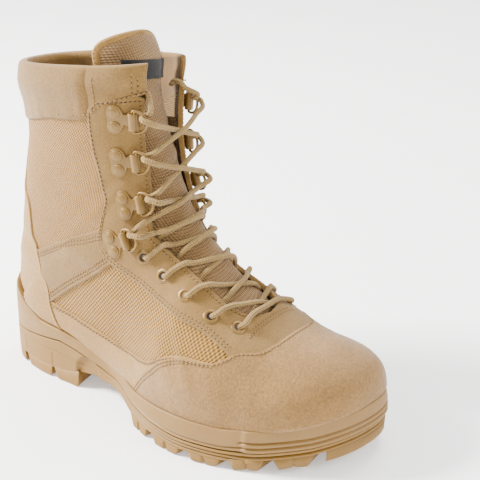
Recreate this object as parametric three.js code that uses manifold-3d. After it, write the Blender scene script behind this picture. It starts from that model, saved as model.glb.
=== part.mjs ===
// Combat boot for the right foot, about EU 43, standing unbent on its sole.
// Millimetres. +X runs from heel to toe, +Y to the medial side (the wearer's left), +Z up.
// Every form is worked out in last coordinates: x from the heel's back, y from the heel's middle, z from the
// ground. The exported group moves them so that the origin is the middle of the bounding box's bottom.
import * as THREE from 'three';
import { mergeVertices } from 'three/addons/utils/BufferGeometryUtils.js';
import Module from 'manifold-3d';

const wasm = await Module();
wasm.setup();

// ---------------------------------------------------------------- driving dimensions
const LENGTH = 311; // outsole, heel to toe
const BALL_WIDTH = 122; // outsole across the ball
const HEEL_FLOOR = 36; // footbed height under the heel
const BALL_FLOOR = 21; // footbed height under the ball
const TOE_SPRING = 11; // rise of the sole's tip
const SPRING_START = 236; // where the sole starts to leave the ground
const FEATHER_INSET = 5.6; // sole edge to the upper's bottom edge
const RIM_INSET = 1.8; // sole edge to the cup's rim
const WALL = 2.8; // upper's wall, leather with its lining
const COLLAR_WALL = 7; // padded collar
const FACING_WALL = 4; // collar beside the throat
const GAP = 0.3; // between neighbouring pieces
const INSOLE_THICKNESS = 4;
const TONGUE_THICKNESS = 4.5;
const LACE_DIAMETER = 4.2;
const LUG_DEPTH = 6.5;
const EYELETS = 5; // per side
const RINGS = 4; // per side

const BOX_MIDDLE_Y = -5.2; // middle of the sole's width, from the heel's middle

// Rows of numbers as objects with named columns.
function table(columns, rows) {
  return rows.map((row) => Object.fromEntries(columns.map((name, i) => [name, row[i]])));
}

// Sole outline: fractions of LENGTH, and of BALL_WIDTH to each side of the heel's middle.
const OUTLINE = [
  { at: 0.041, lateral: 0.240, medial: 0.240 },
  { at: 0.145, lateral: 0.338, medial: 0.353 },
  { at: 0.280, lateral: 0.342, medial: 0.318 },
  { at: 0.400, lateral: 0.348, medial: 0.290 },
  { at: 0.500, lateral: 0.470, medial: 0.315 },
  { at: 0.590, lateral: 0.540, medial: 0.376 },
  { at: 0.690, lateral: 0.545, medial: 0.440 },
  { at: 0.810, lateral: 0.456, medial: 0.455 },
  { at: 0.920, lateral: 0.272, medial: 0.425 },
  { at: 0.981, lateral: 0.060, medial: 0.330 },
];
const TOE_TIP = 0.165; // sideways place of the tip, fraction of BALL_WIDTH

// Heights along the sole: the footbed, the cup's rim, the line between cup and outsole, and the tread's roof.
const HEIGHTS = [
  { x: 0, floor: HEEL_FLOOR, rim: 73, joint: 28, roof: 9 },
  { x: 13, floor: HEEL_FLOOR, rim: 67, joint: 28, roof: 9 },
  { x: 22, floor: HEEL_FLOOR, rim: 59, joint: 28.3, roof: 9 },
  { x: 32, floor: HEEL_FLOOR, rim: 52, joint: 29, roof: 9 },
  { x: 50, floor: HEEL_FLOOR, rim: 45, joint: 31.5, roof: 9 },
  { x: 70, floor: 35, rim: 43, joint: 33.5, roof: 9.5 },
  { x: 90, floor: 31, rim: 38.5, joint: 30, roof: 13 },
  { x: 106, floor: 26.5, rim: 33, joint: 25.5, roof: 15 },
  { x: 120, floor: 23.5, rim: 28.5, joint: 21.5, roof: 14.5 },
  { x: 145, floor: BALL_FLOOR, rim: 27, joint: 18.5, roof: 11 },
  { x: 170, floor: BALL_FLOOR, rim: 29, joint: 16, roof: 8 },
  { x: 200, floor: BALL_FLOOR, rim: 30, joint: 14, roof: LUG_DEPTH },
  { x: 236, floor: BALL_FLOOR, rim: 29.5, joint: 14, roof: LUG_DEPTH },
  { x: 262, floor: 22, rim: 32.5, joint: 15.5, roof: 9 },
  { x: 290, floor: 26, rim: 38, joint: 20, roof: 14 },
  { x: 311, floor: 31, rim: 43, joint: 25, roof: LUG_DEPTH + TOE_SPRING },
];

// The upper's sections, toe to collar. Each lies in a plane across the boot through a top point on the ridge and
// a low point: on the feather line for the foot, round the heel by 'turn' degrees, then up the back seam. 'roll'
// tips a section down to the medial side.
const SECTIONS = table(
  ['topX', 'topZ', 'lowX', 'turn', 'backZ', 'lateral', 'medial', 'ridge', 'widest', 'crown', 'roll'],
  [
    [250, 80, 250, 0, 0, 53, 52, 6, 0.66, 2.35, 0],
    [233, 89, 226, 0, 0, 60.5, 51.5, 4, 0.66, 2.25, 0],
    [215, 101, 198, 0, 0, 63.5, 46.5, 2.5, 0.68, 2.15, 0],
    [198, 116, 168, 0, 0, 59, 40, 1.5, 0.67, 2.05, 0],
    [183, 131, 138, 0, 0, 48.5, 36.5, 1, 0.62, 2, 0],
    [170, 145, 108, 0, 0, 42.5, 36.5, 0.5, 0.56, 2, 0],
    [161, 158, 78, 0, 0, 42, 39, 0, 0.52, 2, 0],
    [156, 168, 45, 0, 0, 42.5, 40.5, 0, 0.48, 2, 0],
    [153, 176, 45, 30, 0, 42.5, 41, 0, 0.46, 2.1, 0],
    [151, 183, 45, 60, 0, 42.5, 41, 0, 0.46, 2.15, 0],
    [150, 190, 45, 90, 36, 42.5, 41, 0, 0.46, 2.2, 0],
    [149, 197, 45, 90, 56, 42, 41, 0, 0.47, 2.2, 0],
    [148.5, 204, 45, 90, 80, 42, 41, 0, 0.48, 2.2, 0],
    [148.5, 211, 45, 90, 105, 41.5, 41, 0, 0.49, 2.2, 0],
    [148.5, 218, 45, 90, 131, 41.5, 41, 0, 0.5, 2.2, 0],
    [149, 226, 45, 90, 158, 42, 41, 0, 0.5, 2.2, 0],
    [150, 234, 45, 90, 183, 42.5, 41.5, 0, 0.5, 2.2, -0.03],
    [151, 241, 45, 90, 206, 43, 42, 0, 0.5, 2.2, -0.06],
    [152, 248, 45, 90, 222, 45, 44, 0, 0.5, 2.2, -0.09],
    [153, 256, 45, 90, 237, 43.5, 42.5, 0, 0.5, 2.2, -0.1],
    [152, 266, 45, 90, 256, 42, 41, 0, 0.5, 2.2, -0.1],
    [150, 277, 45, 90, 275, 41, 40, 0, 0.5, 2.2, -0.1],
  ],
);
const COLLAR = 19; // the row of SECTIONS that is the collar's edge; the last two rows guide the tongue only
const THROAT = 1.1; // the station where the throat opens
const FLANK = 2.4; // roundness of a section below its widest place

// The back seam's profile: how far it stands from the heel's back at each height.
const BACK = [
  { z: 36, x: 6.6 },
  { z: 56, x: 4.8 },
  { z: 80, x: 8 },
  { z: 105, x: 13 },
  { z: 131, x: 17.5 },
  { z: 158, x: 22 },
  { z: 183, x: 26 },
  { z: 206, x: 27 },
  { z: 222, x: 22.5 },
  { z: 237, x: 23 },
  { z: 275, x: 24 },
];

// Half width of the throat's opening, by station.
const THROAT_GAPS = [
  { v: THROAT, gap: 0 },
  { v: 1.25, gap: 13 },
  { v: 1.6, gap: 18 },
  { v: 2.15, gap: 22.5 },
  { v: 3.1, gap: 24.5 },
  { v: 4.8, gap: 26 },
  { v: 5.6, gap: 27.4 },
  { v: 6.3, gap: 25 },
  { v: 6.8, gap: 21.5 },
  { v: 7.6, gap: 20 },
  { v: 9.4, gap: 18.5 },
  { v: 12, gap: 19.4 },
  { v: 14, gap: 20 },
  { v: COLLAR, gap: 21.5 },
];

// ---------------------------------------------------------------- small helpers
const SIDES = [{ name: 'lateral', sign: -1 }, { name: 'medial', sign: 1 }];
const QUARTER = Math.PI / 2;
const mix = (a, b, t) => a + (b - a) * t;
const clamp = (value, low, high) => Math.min(high, Math.max(low, value));
const smooth = (t) => clamp(t, 0, 1) ** 2 * (3 - 2 * clamp(t, 0, 1));

function catmull(a, b, c, d, t) {
  return b + 0.5 * t * (c - a + t * (2 * a - 5 * b + 4 * c - d + t * (3 * b - a - 3 * c + d)));
}

// A table's column at a fractional row number.
function rowValue(table, column, v) {
  const last = table.length - 1;
  const i = clamp(Math.floor(v), 0, last - 1);
  const at = (n) => table[clamp(n, 0, last)][column];
  return catmull(at(i - 1), at(i), at(i + 1), at(i + 2), clamp(v, 0, last) - i);
}

// A table's column where its key column has the given value, in straight steps.
function lookUp(table, key, column, value) {
  let i = 0;
  while (i < table.length - 2 && table[i + 1][key] < value) i += 1;
  const span = table[i + 1][key] - table[i][key];
  return mix(table[i][column], table[i + 1][column], clamp((value - table[i][key]) / span, 0, 1));
}
const height = (column, x) => lookUp(HEIGHTS, 'x', column, x);

// ---------------------------------------------------------------- sole outline
const outlineCurve = new THREE.CatmullRomCurve3([
  new THREE.Vector3(0, 0, 0),
  ...OUTLINE.map((row) => new THREE.Vector3(row.at * LENGTH, -row.lateral * BALL_WIDTH, 0)),
  new THREE.Vector3(LENGTH, TOE_TIP * BALL_WIDTH, 0),
  ...[...OUTLINE].reverse().map((row) => new THREE.Vector3(row.at * LENGTH, row.medial * BALL_WIDTH, 0)),
], true, 'catmullrom', 0.5);
outlineCurve.arcLengthDivisions = 1200;

// The outline moved in by 'inset', as 'count' evenly spaced points from the heel's back along the lateral side.
function insetOutline(inset, count) {
  const points = [];
  for (let i = 0; i < count; i += 1) {
    const p = outlineCurve.getPointAt(i / count);
    const along = outlineCurve.getTangentAt(i / count);
    points.push(new THREE.Vector2(p.x - along.y * inset, p.y + along.x * inset));
  }
  return points;
}

const FINE = 600;
const fineOutlines = new Map();
// Sideways place of the inset outline at x, on one side.
function edgeY(x, side, inset) {
  if (!fineOutlines.has(inset)) fineOutlines.set(inset, insetOutline(inset, FINE));
  const points = fineOutlines.get(inset);
  const tip = points.reduce((best, p, i) => (p.x > points[best].x ? i : best), 0);
  const step = side.sign < 0 ? 1 : -1;
  let i = 0;
  while (i !== tip && points[(i + step + FINE) % FINE].x < x) i = (i + step + FINE) % FINE;
  if (i === tip) return points[tip].y;
  const a = points[i];
  const b = points[(i + step + FINE) % FINE];
  return mix(a.y, b.y, clamp((x - a.x) / (b.x - a.x), 0, 1));
}
const feather = insetOutline(FEATHER_INSET, FINE);
const featherTip = feather.reduce((best, p) => (p.x > best.x ? p : best));
const featherBack = feather.reduce((best, p) => (p.x < best.x ? p : best));
const lowEdgeZ = (x) => height('floor', x) + GAP + 0.1;

// ---------------------------------------------------------------- the upper's surface
const TOE_POWER = 3.4; // how full the toe is in profile
const TOE_FALL = 0.26; // how much the toe's crown drops before it rounds over

function station(v) {
  const row = (column) => rowValue(SECTIONS, column, Math.max(v, 0));
  const shape = { widest: row('widest'), crown: row('crown'), ridge: row('ridge'), roll: row('roll') };
  if (v < 0) {
    const start = SECTIONS[0];
    const s = Math.sin(-v * QUARTER);
    const x = mix(start.topX, featherTip.x, s);
    const k = (1 - s ** TOE_POWER) ** (1 / TOE_POWER);
    const rise = (start.topZ - lowEdgeZ(start.topX)) * (1 - TOE_FALL * s) * k;
    shape.top = [x, lowEdgeZ(x) + rise];
    shape.low = [x, lowEdgeZ(x)];
    shape.ridge = mix(start.ridge, featherTip.y, s * s);
    for (const side of SIDES) {
      const foot = edgeY(x, side, FEATHER_INSET);
      const swell = side.sign * start[side.name] - edgeY(start.topX, side, FEATHER_INSET);
      shape[side.name] = { low: foot, wide: foot + swell * k };
    }
    return shape;
  }
  const turn = THREE.MathUtils.degToRad(clamp(row('turn'), 0, 90));
  const straight = row('lowX');
  const closed = turn > QUARTER - 1e-6;
  const backZ = row('backZ');
  const lowX = closed ? lookUp(BACK, 'z', 'x', backZ) : straight - (straight - featherBack.x) * Math.sin(turn);
  shape.top = [row('topX'), row('topZ')];
  shape.low = [lowX, closed ? Math.max(backZ, lowEdgeZ(lowX)) : lowEdgeZ(lowX)];
  for (const side of SIDES) {
    shape[side.name] = { low: closed ? 0 : edgeY(lowX, side, FEATHER_INSET), wide: side.sign * row(side.name) };
  }
  return shape;
}

// A point of the upper's outside. The angle is 0 on the ridge, a quarter turn at the widest place, a half turn at
// the low end.
function skin(v, side, angle) {
  const shape = station(v);
  const { low, wide } = shape[side.name];
  let down;
  let y;
  if (angle <= QUARTER) {
    down = shape.widest * (1 - Math.cos(angle) ** (2 / shape.crown));
    y = mix(shape.ridge, wide, Math.sin(angle) ** (2 / shape.crown));
  } else {
    const turn = angle - QUARTER;
    down = mix(shape.widest, 1, Math.sin(turn) ** (2 / FLANK));
    y = mix(low, wide, Math.max(0, Math.cos(turn)) ** (2 / FLANK));
  }
  return new THREE.Vector3(
    mix(shape.top[0], shape.low[0], down),
    y,
    mix(shape.top[1], shape.low[1], down) + shape.roll * y,
  );
}

function skinNormal(v, side, angle) {
  const step = 0.02;
  const a = clamp(angle, 0.05, Math.PI - 0.05);
  const alongV = skin(v + step, side, a).sub(skin(v - step, side, a));
  const alongAngle = skin(v, side, a + step).sub(skin(v, side, a - step));
  return alongAngle.cross(alongV).multiplyScalar(side.sign).normalize();
}

// The angle at which a section is 'gap' away from its ridge.
function angleAtGap(v, side, gap) {
  const shape = station(v);
  const half = Math.max(Math.abs(shape[side.name].wide - shape.ridge), 1e-6);
  return Math.asin(clamp(gap / half, 0, 1) ** (shape.crown / 2));
}
const throatGap = (v) => (v <= THROAT ? 0 : lookUp(THROAT_GAPS, 'v', 'gap', v));

// ---------------------------------------------------------------- meshes
// Joins triangles whose corners share a place, and drops those that have closed up.
class Sheet {
  constructor() {
    this.points = [];
    this.triangles = [];
    this.index = new Map();
  }

  add(p) {
    const key = [p.x, p.y, p.z].map((n) => Math.round(n * 1e4)).join();
    if (!this.index.has(key)) {
      this.index.set(key, this.points.length);
      this.points.push(p.clone());
    }
    return this.index.get(key);
  }

  triangle(a, b, c) {
    if (a !== b && b !== c && c !== a) this.triangles.push([a, b, c]);
  }

  quad(a, b, c, d) {
    this.triangle(a, b, c);
    this.triangle(a, c, d);
  }

  // Rows of corner numbers of one length, joined row to row.
  bridge(rows, closed = false) {
    for (let i = 0; i + 1 < rows.length; i += 1) {
      const n = rows[i].length;
      for (let j = 0; j + (closed ? 0 : 1) < n; j += 1) {
        const k = (j + 1) % n;
        this.quad(rows[i][j], rows[i][k], rows[i + 1][k], rows[i + 1][j]);
      }
    }
  }

  normals() {
    const sums = this.points.map(() => new THREE.Vector3());
    for (const [a, b, c] of this.triangles) {
      const [p, q, r] = [a, b, c].map((n) => this.points[n]);
      const n = q.clone().sub(p).cross(r.clone().sub(p));
      [a, b, c].forEach((corner) => sums[corner].add(n));
    }
    return sums.map((n) => n.normalize());
  }

  volume() {
    return this.triangles.reduce((sum, [a, b, c]) => sum
      + this.points[a].dot(this.points[b].clone().cross(this.points[c])) / 6, 0);
  }

  // A wall between this sheet and the same sheet moved in along its normals, by a thickness for each corner.
  thicken(thickness) {
    const count = this.points.length;
    const normals = this.normals();
    const wall = new Sheet();
    wall.points = this.points.map((p) => p.clone());
    this.points.forEach((p, i) => wall.points.push(p.clone().addScaledVector(normals[i], -thickness[i])));
    const edges = new Set(this.triangles.flatMap(([a, b, c]) => [`${a},${b}`, `${b},${c}`, `${c},${a}`]));
    for (const [a, b, c] of this.triangles) {
      wall.triangle(a, b, c);
      wall.triangle(a + count, c + count, b + count);
      for (const [p, q] of [[a, b], [b, c], [c, a]]) {
        if (!edges.has(`${q},${p}`)) wall.quad(q, p, p + count, q + count);
      }
    }
    return wall;
  }

  geometry() {
    if (this.volume() < 0) this.triangles.forEach((t) => t.reverse());
    const flat = this.triangles.flatMap((t) => t.flatMap((n) => this.points[n].toArray()));
    const geometry = new THREE.BufferGeometry();
    geometry.setAttribute('position', new THREE.Float32BufferAttribute(flat, 3));
    return geometry;
  }
}

// A closed geometry as a solid for joins and cuts.
function solid(geometry) {
  const plain = geometry.clone();
  plain.deleteAttribute('normal');
  plain.deleteAttribute('uv');
  const merged = mergeVertices(plain, 1e-4);
  return new wasm.Manifold(new wasm.Mesh({
    numProp: 3,
    vertProperties: new Float32Array(merged.attributes.position.array),
    triVerts: new Uint32Array(merged.index.array),
  }));
}

function geometryOf(manifold) {
  const mesh = manifold.getMesh();
  const geometry = new THREE.BufferGeometry();
  const places = new Float32Array(mesh.triVerts.length * 3);
  mesh.triVerts.forEach((n, i) => {
    const start = n * mesh.numProp;
    places.set(mesh.vertProperties.subarray(start, start + 3), i * 3);
  });
  geometry.setAttribute('position', new THREE.BufferAttribute(places, 3));
  return geometry;
}

const joined = (solids) => solids.reduce((whole, next) => whole.add(next));

// ---------------------------------------------------------------- upper
const TOE_STATIONS = [-1, -0.88, -0.75, -0.6, -0.44, -0.27, -0.12];
const FOOT_STATIONS = [0, 0.5, THROAT, 1.25, 1.7, 2.3, 3, 3.6, 4.2, 5, 5.7, 6.4, 7];
const HEEL_STATIONS = [7.5, 8, 8.5, 9, 9.5, 10];
const SHAFT_STATIONS = [10.8, 11.7, 12.6, 13.6, 14.7, 15.8, 16.7, 17.2, 17.7, 18.3, COLLAR];
const STATIONS = [...TOE_STATIONS, ...FOOT_STATIONS, ...HEEL_STATIONS, ...SHAFT_STATIONS];
const ACROSS = 9; // steps from the throat's edge to the low end

function sectionAngles(v, side) {
  const start = angleAtGap(v, side, throatGap(v));
  return Array.from({ length: ACROSS + 1 }, (_, j) => mix(start, Math.PI, j / ACROSS));
}

function wallAt(v, fromThroat) {
  const pad = smooth((v - 16.9) / 0.8);
  return mix(WALL, mix(FACING_WALL, COLLAR_WALL, smooth((fromThroat - 0.2) / 0.25)), pad);
}

function upperSheet() {
  const sheet = new Sheet();
  const thickness = [];
  const rows = STATIONS.map((v) => SIDES.map((side) => sectionAngles(v, side).map((angle, j) => {
    const corner = sheet.add(skin(v, side, angle));
    thickness[corner] = wallAt(v, j / ACROSS);
    return corner;
  })));
  sheet.bridge(rows.map(([lateral]) => [...lateral].reverse()));
  sheet.bridge(rows.map(([, medial]) => medial));
  return { sheet, thickness, rows };
}

const upperSkin = upperSheet();

// The solid that fills the upper and stands GAP proud of it, to cut its seat in the cup.
function upperForm() {
  const { sheet, rows } = upperSkin;
  const normals = sheet.normals();
  const form = new Sheet();
  const grown = sheet.points.map((p, i) => p.clone().addScaledVector(normals[i], GAP));
  const ring = ([lateral, medial], i) => {
    const v = STATIONS[i];
    const ridge = skin(v, SIDES[0], 0);
    const left = lateral.map((n) => grown[n]);
    const right = medial.map((n) => grown[n]);
    const crown = lateral[0] === medial[0] ? left[0] : ridge;
    const closed = lateral[ACROSS] === medial[ACROSS];
    const sole = closed ? [] : [left[ACROSS], right[ACROSS]].map((p) => p.clone().setZ(p.z - GAP - 0.1));
    const loop = [crown, ...left, ...(closed ? [left[ACROSS], left[ACROSS]] : sole), ...[...right].reverse()];
    return loop.reverse().map((p) => form.add(p));
  };
  const rings = rows.map(ring);
  form.bridge(rings, true);
  for (const end of [rings[0], [...rings[rings.length - 1]].reverse()]) {
    for (let j = 1; j + 1 < end.length; j += 1) form.triangle(end[0], end[j + 1], end[j]);
  }
  return form;
}

// ---------------------------------------------------------------- lace points
// Stations of the eyelets and rings, toe to top, and how far back from the throat's edge each stands.
const EYELET_STATIONS = [1.35, 2.22, 3.29, 4.37, 5.39];
const EYELET_INSET = 15.3;
// Riveted plates, bottom to top: station, angle on the section, and how far the plate is turned up towards the
// throat.
const RING_SITES = [
  { v: 6.77, angle: 66, tilt: 24 },
  { v: 8.3, angle: 48.8, tilt: 12 },
  { v: 12.2, angle: 48, tilt: 6 },
  { v: 15.4, angle: 51, tilt: 0 },
];
const EYELET_BORE = 5.4;
const EYELET_BARREL = 7;
const EYELET_HOLE = 8.2;
const EYELET_FLANGE = 10.6;
const FLANGE_RISE = 1.2;

// A frame on the skin: z outward, x level and toward the throat, then turned up by 'tilt'.
function skinFrame(v, side, angle, tilt = 0) {
  const out = skinNormal(v, side, angle);
  const up = new THREE.Vector3(0, 0, 1).addScaledVector(out, -out.z).normalize();
  const forward = up.clone().cross(out).multiplyScalar(-side.sign);
  const turn = THREE.MathUtils.degToRad(tilt);
  const x = forward.clone().multiplyScalar(Math.cos(turn)).addScaledVector(up, Math.sin(turn));
  return new THREE.Matrix4().makeBasis(x, out.clone().cross(x), out).setPosition(skin(v, side, angle));
}

// The angle of the point of a section that is 'inset' millimetres back from the throat's edge.
function angleAtInset(v, side, inset) {
  let angle = angleAtGap(v, side, throatGap(v));
  let before = skin(v, side, angle);
  for (let walked = 0; walked < inset;) {
    angle += 0.005;
    const next = skin(v, side, angle);
    walked += next.distanceTo(before);
    before = next;
  }
  return angle;
}

const laceSites = SIDES.map((side) => ({
  side,
  eyelets: EYELET_STATIONS.map((v) => skinFrame(v, side, angleAtInset(v, side, EYELET_INSET))),
  rings: RING_SITES.map(({ v, angle, tilt }) => skinFrame(v, side, THREE.MathUtils.degToRad(angle), tilt)),
}));

function latheSolid(profile, segments) {
  const points = profile.map(([r, z]) => new THREE.Vector2(r, z));
  return new THREE.LatheGeometry([...points, points[0]], segments).rotateX(QUARTER);
}

function eyeletHole() {
  return new THREE.CylinderGeometry(EYELET_HOLE / 2, EYELET_HOLE / 2, 16, 8).rotateX(QUARTER);
}

function eyelet() {
  const bore = EYELET_BORE / 2;
  const barrel = EYELET_BARREL / 2;
  return latheSolid([[bore, -WALL], [barrel, -WALL], [barrel, GAP + 0.15], [EYELET_FLANGE / 2, GAP + 0.15],
    [bore + 0.6, FLANGE_RISE + GAP]], 8);
}

// ---------------------------------------------------------------- ring plates and rings
const RIVET_SPACING = 10.2;
const RIVET_DIAMETER = 8.2;
const RIVET_HEIGHT = 1.8;
const RIVET_SUNK = 0.2;
const PLATE = 1.1;
const PLATE_LIFT = 0.8; // room for the facing's bend
const BARREL_OFFSET = 13; // rivets' line to the barrel's axis
const BARREL_LENGTH = 12.6;
const BARREL_DIAMETER = 6.2;
const RING_WIRE = 2;
const RING_REACH = 10.5; // barrel's axis to the ring's far side
const RING_WIDTH = 16;

function plateShape() {
  const lobe = RIVET_DIAMETER / 2 + 1.2;
  const shape = new THREE.Shape();
  shape.absarc(0, RIVET_SPACING / 2, lobe, 0.4, Math.PI, false);
  shape.absarc(0, -RIVET_SPACING / 2, lobe, Math.PI, 2 * Math.PI - 0.4, false);
  shape.lineTo(BARREL_OFFSET - 3, -BARREL_LENGTH / 2 + 1.5);
  shape.lineTo(BARREL_OFFSET, -BARREL_LENGTH / 2 + 1.5);
  shape.lineTo(BARREL_OFFSET, BARREL_LENGTH / 2 - 1.5);
  shape.lineTo(BARREL_OFFSET - 3, BARREL_LENGTH / 2 - 1.5);
  return shape;
}
const barrelHeight = PLATE_LIFT + BARREL_DIAMETER / 2;

function ringPlate() {
  const cut = { depth: PLATE, bevelEnabled: false, curveSegments: 2 };
  const parts = [solid(new THREE.ExtrudeGeometry(plateShape(), cut).translate(0, 0, PLATE_LIFT))];
  const radius = RIVET_DIAMETER / 2;
  for (const y of [-RIVET_SPACING / 2, RIVET_SPACING / 2]) {
    const rivet = new THREE.CylinderGeometry(radius - 1, radius, RIVET_HEIGHT, 7).rotateX(QUARTER);
    parts.push(solid(rivet.translate(0, y, PLATE_LIFT + PLATE + RIVET_HEIGHT / 2 - RIVET_SUNK)));
  }
  const barrel = new THREE.CylinderGeometry(BARREL_DIAMETER / 2, BARREL_DIAMETER / 2, BARREL_LENGTH, 8);
  parts.push(solid(barrel.translate(BARREL_OFFSET, 0, barrelHeight)));
  const bore = new THREE.CylinderGeometry(RING_WIRE / 2 + 0.5, RING_WIRE / 2 + 0.5, BARREL_LENGTH + 2, 5);
  return geometryOf(joined(parts).subtract(solid(bore.translate(BARREL_OFFSET, 0, barrelHeight))));
}

// A D-shaped loop of wire: straight through the barrel, round outside it.
function laceRing() {
  const bend = 8; // steps round the outside
  const path = Array.from({ length: bend + 1 }, (_, i) => {
    const turn = (i / bend - 0.5) * Math.PI;
    const bulge = Math.cos(turn) ** 0.8;
    return new THREE.Vector3(BARREL_OFFSET + bulge * RING_REACH, Math.sin(turn) * RING_WIDTH / 2, barrelHeight);
  });
  return closedTube(path, RING_WIRE / 2, 4);
}

// A round section carried round a flat closed path, in the path's own plane.
function closedTube(path, radius, sides) {
  const tube = new Sheet();
  const n = path.length;
  const flat = new THREE.Vector3(0, 0, 1);
  const rows = path.map((p, i) => {
    const along = path[(i + 1) % n].clone().sub(path[(i - 1 + n) % n]).normalize();
    const out = along.clone().cross(flat);
    return Array.from({ length: sides }, (_, j) => {
      const turn = (j / sides) * 2 * Math.PI;
      return tube.add(p.clone().addScaledVector(out, Math.cos(turn) * radius)
        .addScaledVector(flat, Math.sin(turn) * radius));
    });
  });
  tube.bridge([...rows, rows[0]], true);
  return tube.geometry();
}

// ---------------------------------------------------------------- laces
const LACE_SINK = 3; // how far a strand's middle dips between the facings
const LACE_SIDES = 5;

// The station and angle of the skin under a point, searched in ever finer steps.
function underneath(point, side) {
  let best = { v: 8, angle: QUARTER / 2 };
  const far = ({ v, angle }) => skin(v, side, angle).distanceTo(point);
  for (let span = 8; span > 0.01; span *= 0.6) {
    const around = [-1, -0.5, 0, 0.5, 1].flatMap((a) => [-1, -0.5, 0, 0.5, 1].map((b) => ({
      v: clamp(best.v + a * span, 0, COLLAR), angle: clamp(best.angle + b * span * 0.1, 0, Math.PI),
    })));
    best = around.reduce((nearest, one) => (far(one) < far(nearest) ? one : nearest), best);
  }
  return { ...best, side, lift: far(best) };
}

function laceEnds() {
  const overFlange = 2 * GAP + FLANGE_RISE + LACE_DIAMETER / 2 + 1;
  const beyondRing = BARREL_OFFSET + RING_REACH + RING_WIRE / 2 + LACE_DIAMETER / 2 + 2 * GAP;
  return laceSites.map(({ side, eyelets, rings }) => [
    ...eyelets.map((frame) => new THREE.Vector3(0, 0, overFlange).applyMatrix4(frame)),
    ...rings.map((frame) => new THREE.Vector3(beyondRing, 0, barrelHeight).applyMatrix4(frame)),
  ].map((point) => underneath(point, side)));
}

function strand(from, to, steps) {
  const points = Array.from({ length: steps + 1 }, (_, i) => {
    const t = i / steps;
    const across = mix(from.angle * from.side.sign, to.angle * to.side.sign, t);
    const side = across < 0 ? SIDES[0] : SIDES[1];
    const v = mix(from.v, to.v, t);
    const lift = mix(from.lift, to.lift, t) - LACE_SINK * Math.sin(t * Math.PI) ** 2;
    return skin(v, side, Math.abs(across)).addScaledVector(skinNormal(v, side, Math.abs(across)), lift);
  });
  const round = new THREE.Shape(Array.from({ length: LACE_SIDES }, (_, j) => {
    const turn = (j / LACE_SIDES) * 2 * Math.PI;
    return new THREE.Vector2(Math.cos(turn), Math.sin(turn)).multiplyScalar(LACE_DIAMETER / 2);
  }));
  return solid(new THREE.ExtrudeGeometry(round, { steps, extrudePath: new THREE.CatmullRomCurve3(points) }));
}

function laceNet() {
  const [lateral, medial] = laceEnds();
  const strands = [strand(lateral[0], medial[0], 5)];
  for (let i = 0; i + 1 < EYELETS + RINGS; i += 1) {
    strands.push(strand(lateral[i], medial[i + 1], 4), strand(medial[i], lateral[i + 1], 4));
  }
  return geometryOf(joined(strands));
}

// ---------------------------------------------------------------- tongue
const TONGUE_STATIONS = [0.8, 1.5, 2.4, 3.4, 4.5, 5.6, 6.8, 8.2, 10, 12, 14, 16, 17.5, 19, 19.7, 20.2, 20.5];
const TONGUE_ACROSS = 5; // steps to each side
const TONGUE_CLEAR = WALL + 2.2; // skin to the tongue's face
const TONGUE_UNDER = 8; // how far it runs under each facing
const TONGUE_SET_BACK = 17; // how far it stands back inside the collar
const TONGUE_FOLD = 6; // how much more its free top leans back
const TONGUE_HALF = { lateral: 35, medial: 25 }; // at the collar
const TONGUE_END = 20.75;

function tongueSheet() {
  const sheet = new Sheet();
  const rows = TONGUE_STATIONS.map((v) => {
    const rise = station(v).top[1];
    const back = TONGUE_SET_BACK * smooth((rise - 176) / 74) + TONGUE_FOLD * smooth((rise - 252) / 24);
    const collar = smooth((v - 10) / 7);
    const round = Math.sqrt(1 - clamp((v - COLLAR) / (TONGUE_END - COLLAR), 0, 1) ** 2.2);
    return Array.from({ length: 2 * TONGUE_ACROSS + 1 }, (_, j) => {
      const t = j / TONGUE_ACROSS - 1;
      const side = t < 0 ? SIDES[0] : SIDES[1];
      const half = mix(throatGap(Math.max(v, 1.6)) + TONGUE_UNDER, TONGUE_HALF[side.name], collar);
      const angle = Math.abs(t) * angleAtGap(v, side, half * round);
      const point = skin(v, side, angle).addScaledVector(skinNormal(v, side, angle), -TONGUE_CLEAR);
      return sheet.add(point.setX(point.x - back));
    });
  });
  sheet.bridge(rows);
  return sheet;
}

// ---------------------------------------------------------------- sole
const PERIMETER = 64; // points round the outline
const JOINT_LIP = 6; // width of the flat edge where cup and outsole meet
const JOINT_GAP = 1;

// Rings round the sole at given insets and heights, closed over from side to side at both ends.
function ringSolid(levels) {
  const sheet = new Sheet();
  const rings = levels.map(({ inset, z }) => insetOutline(inset, PERIMETER)
    .map((p) => sheet.add(new THREE.Vector3(p.x, p.y, z(p.x)))));
  sheet.bridge(rings, true);
  const close = (ring) => {
    for (let i = 0; i < PERIMETER / 2; i += 1) {
      const j = PERIMETER - i;
      sheet.quad(ring[i], ring[(j) % PERIMETER], ring[(j - 1) % PERIMETER], ring[i + 1]);
    }
  };
  close(rings[0]);
  close(rings[rings.length - 1]);
  const lastClose = sheet.triangles.splice(sheet.triangles.length - (PERIMETER - 2));
  lastClose.forEach(([a, b, c]) => sheet.triangle(a, c, b));
  return sheet;
}

const jointInner = (x) => Math.min(height('joint', x), height('floor', x) - 5);

function midsoleBody() {
  return ringSolid([
    { inset: JOINT_LIP, z: (x) => jointInner(x) + JOINT_GAP },
    { inset: 0.2, z: (x) => height('joint', x) + JOINT_GAP },
    { inset: 0, z: (x) => mix(height('joint', x), height('rim', x), 0.35) },
    { inset: 1.2, z: (x) => mix(height('joint', x), height('rim', x), 0.75) },
    { inset: RIM_INSET, z: (x) => height('rim', x) },
  ]);
}

function outsoleSlab() {
  return ringSolid([
    { inset: 1.2, z: (x) => height('roof', x) },
    { inset: 0, z: (x) => mix(height('roof', x), height('joint', x), 0.3) },
    { inset: 0, z: (x) => height('joint', x) },
    { inset: JOINT_LIP, z: jointInner },
  ]);
}

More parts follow.
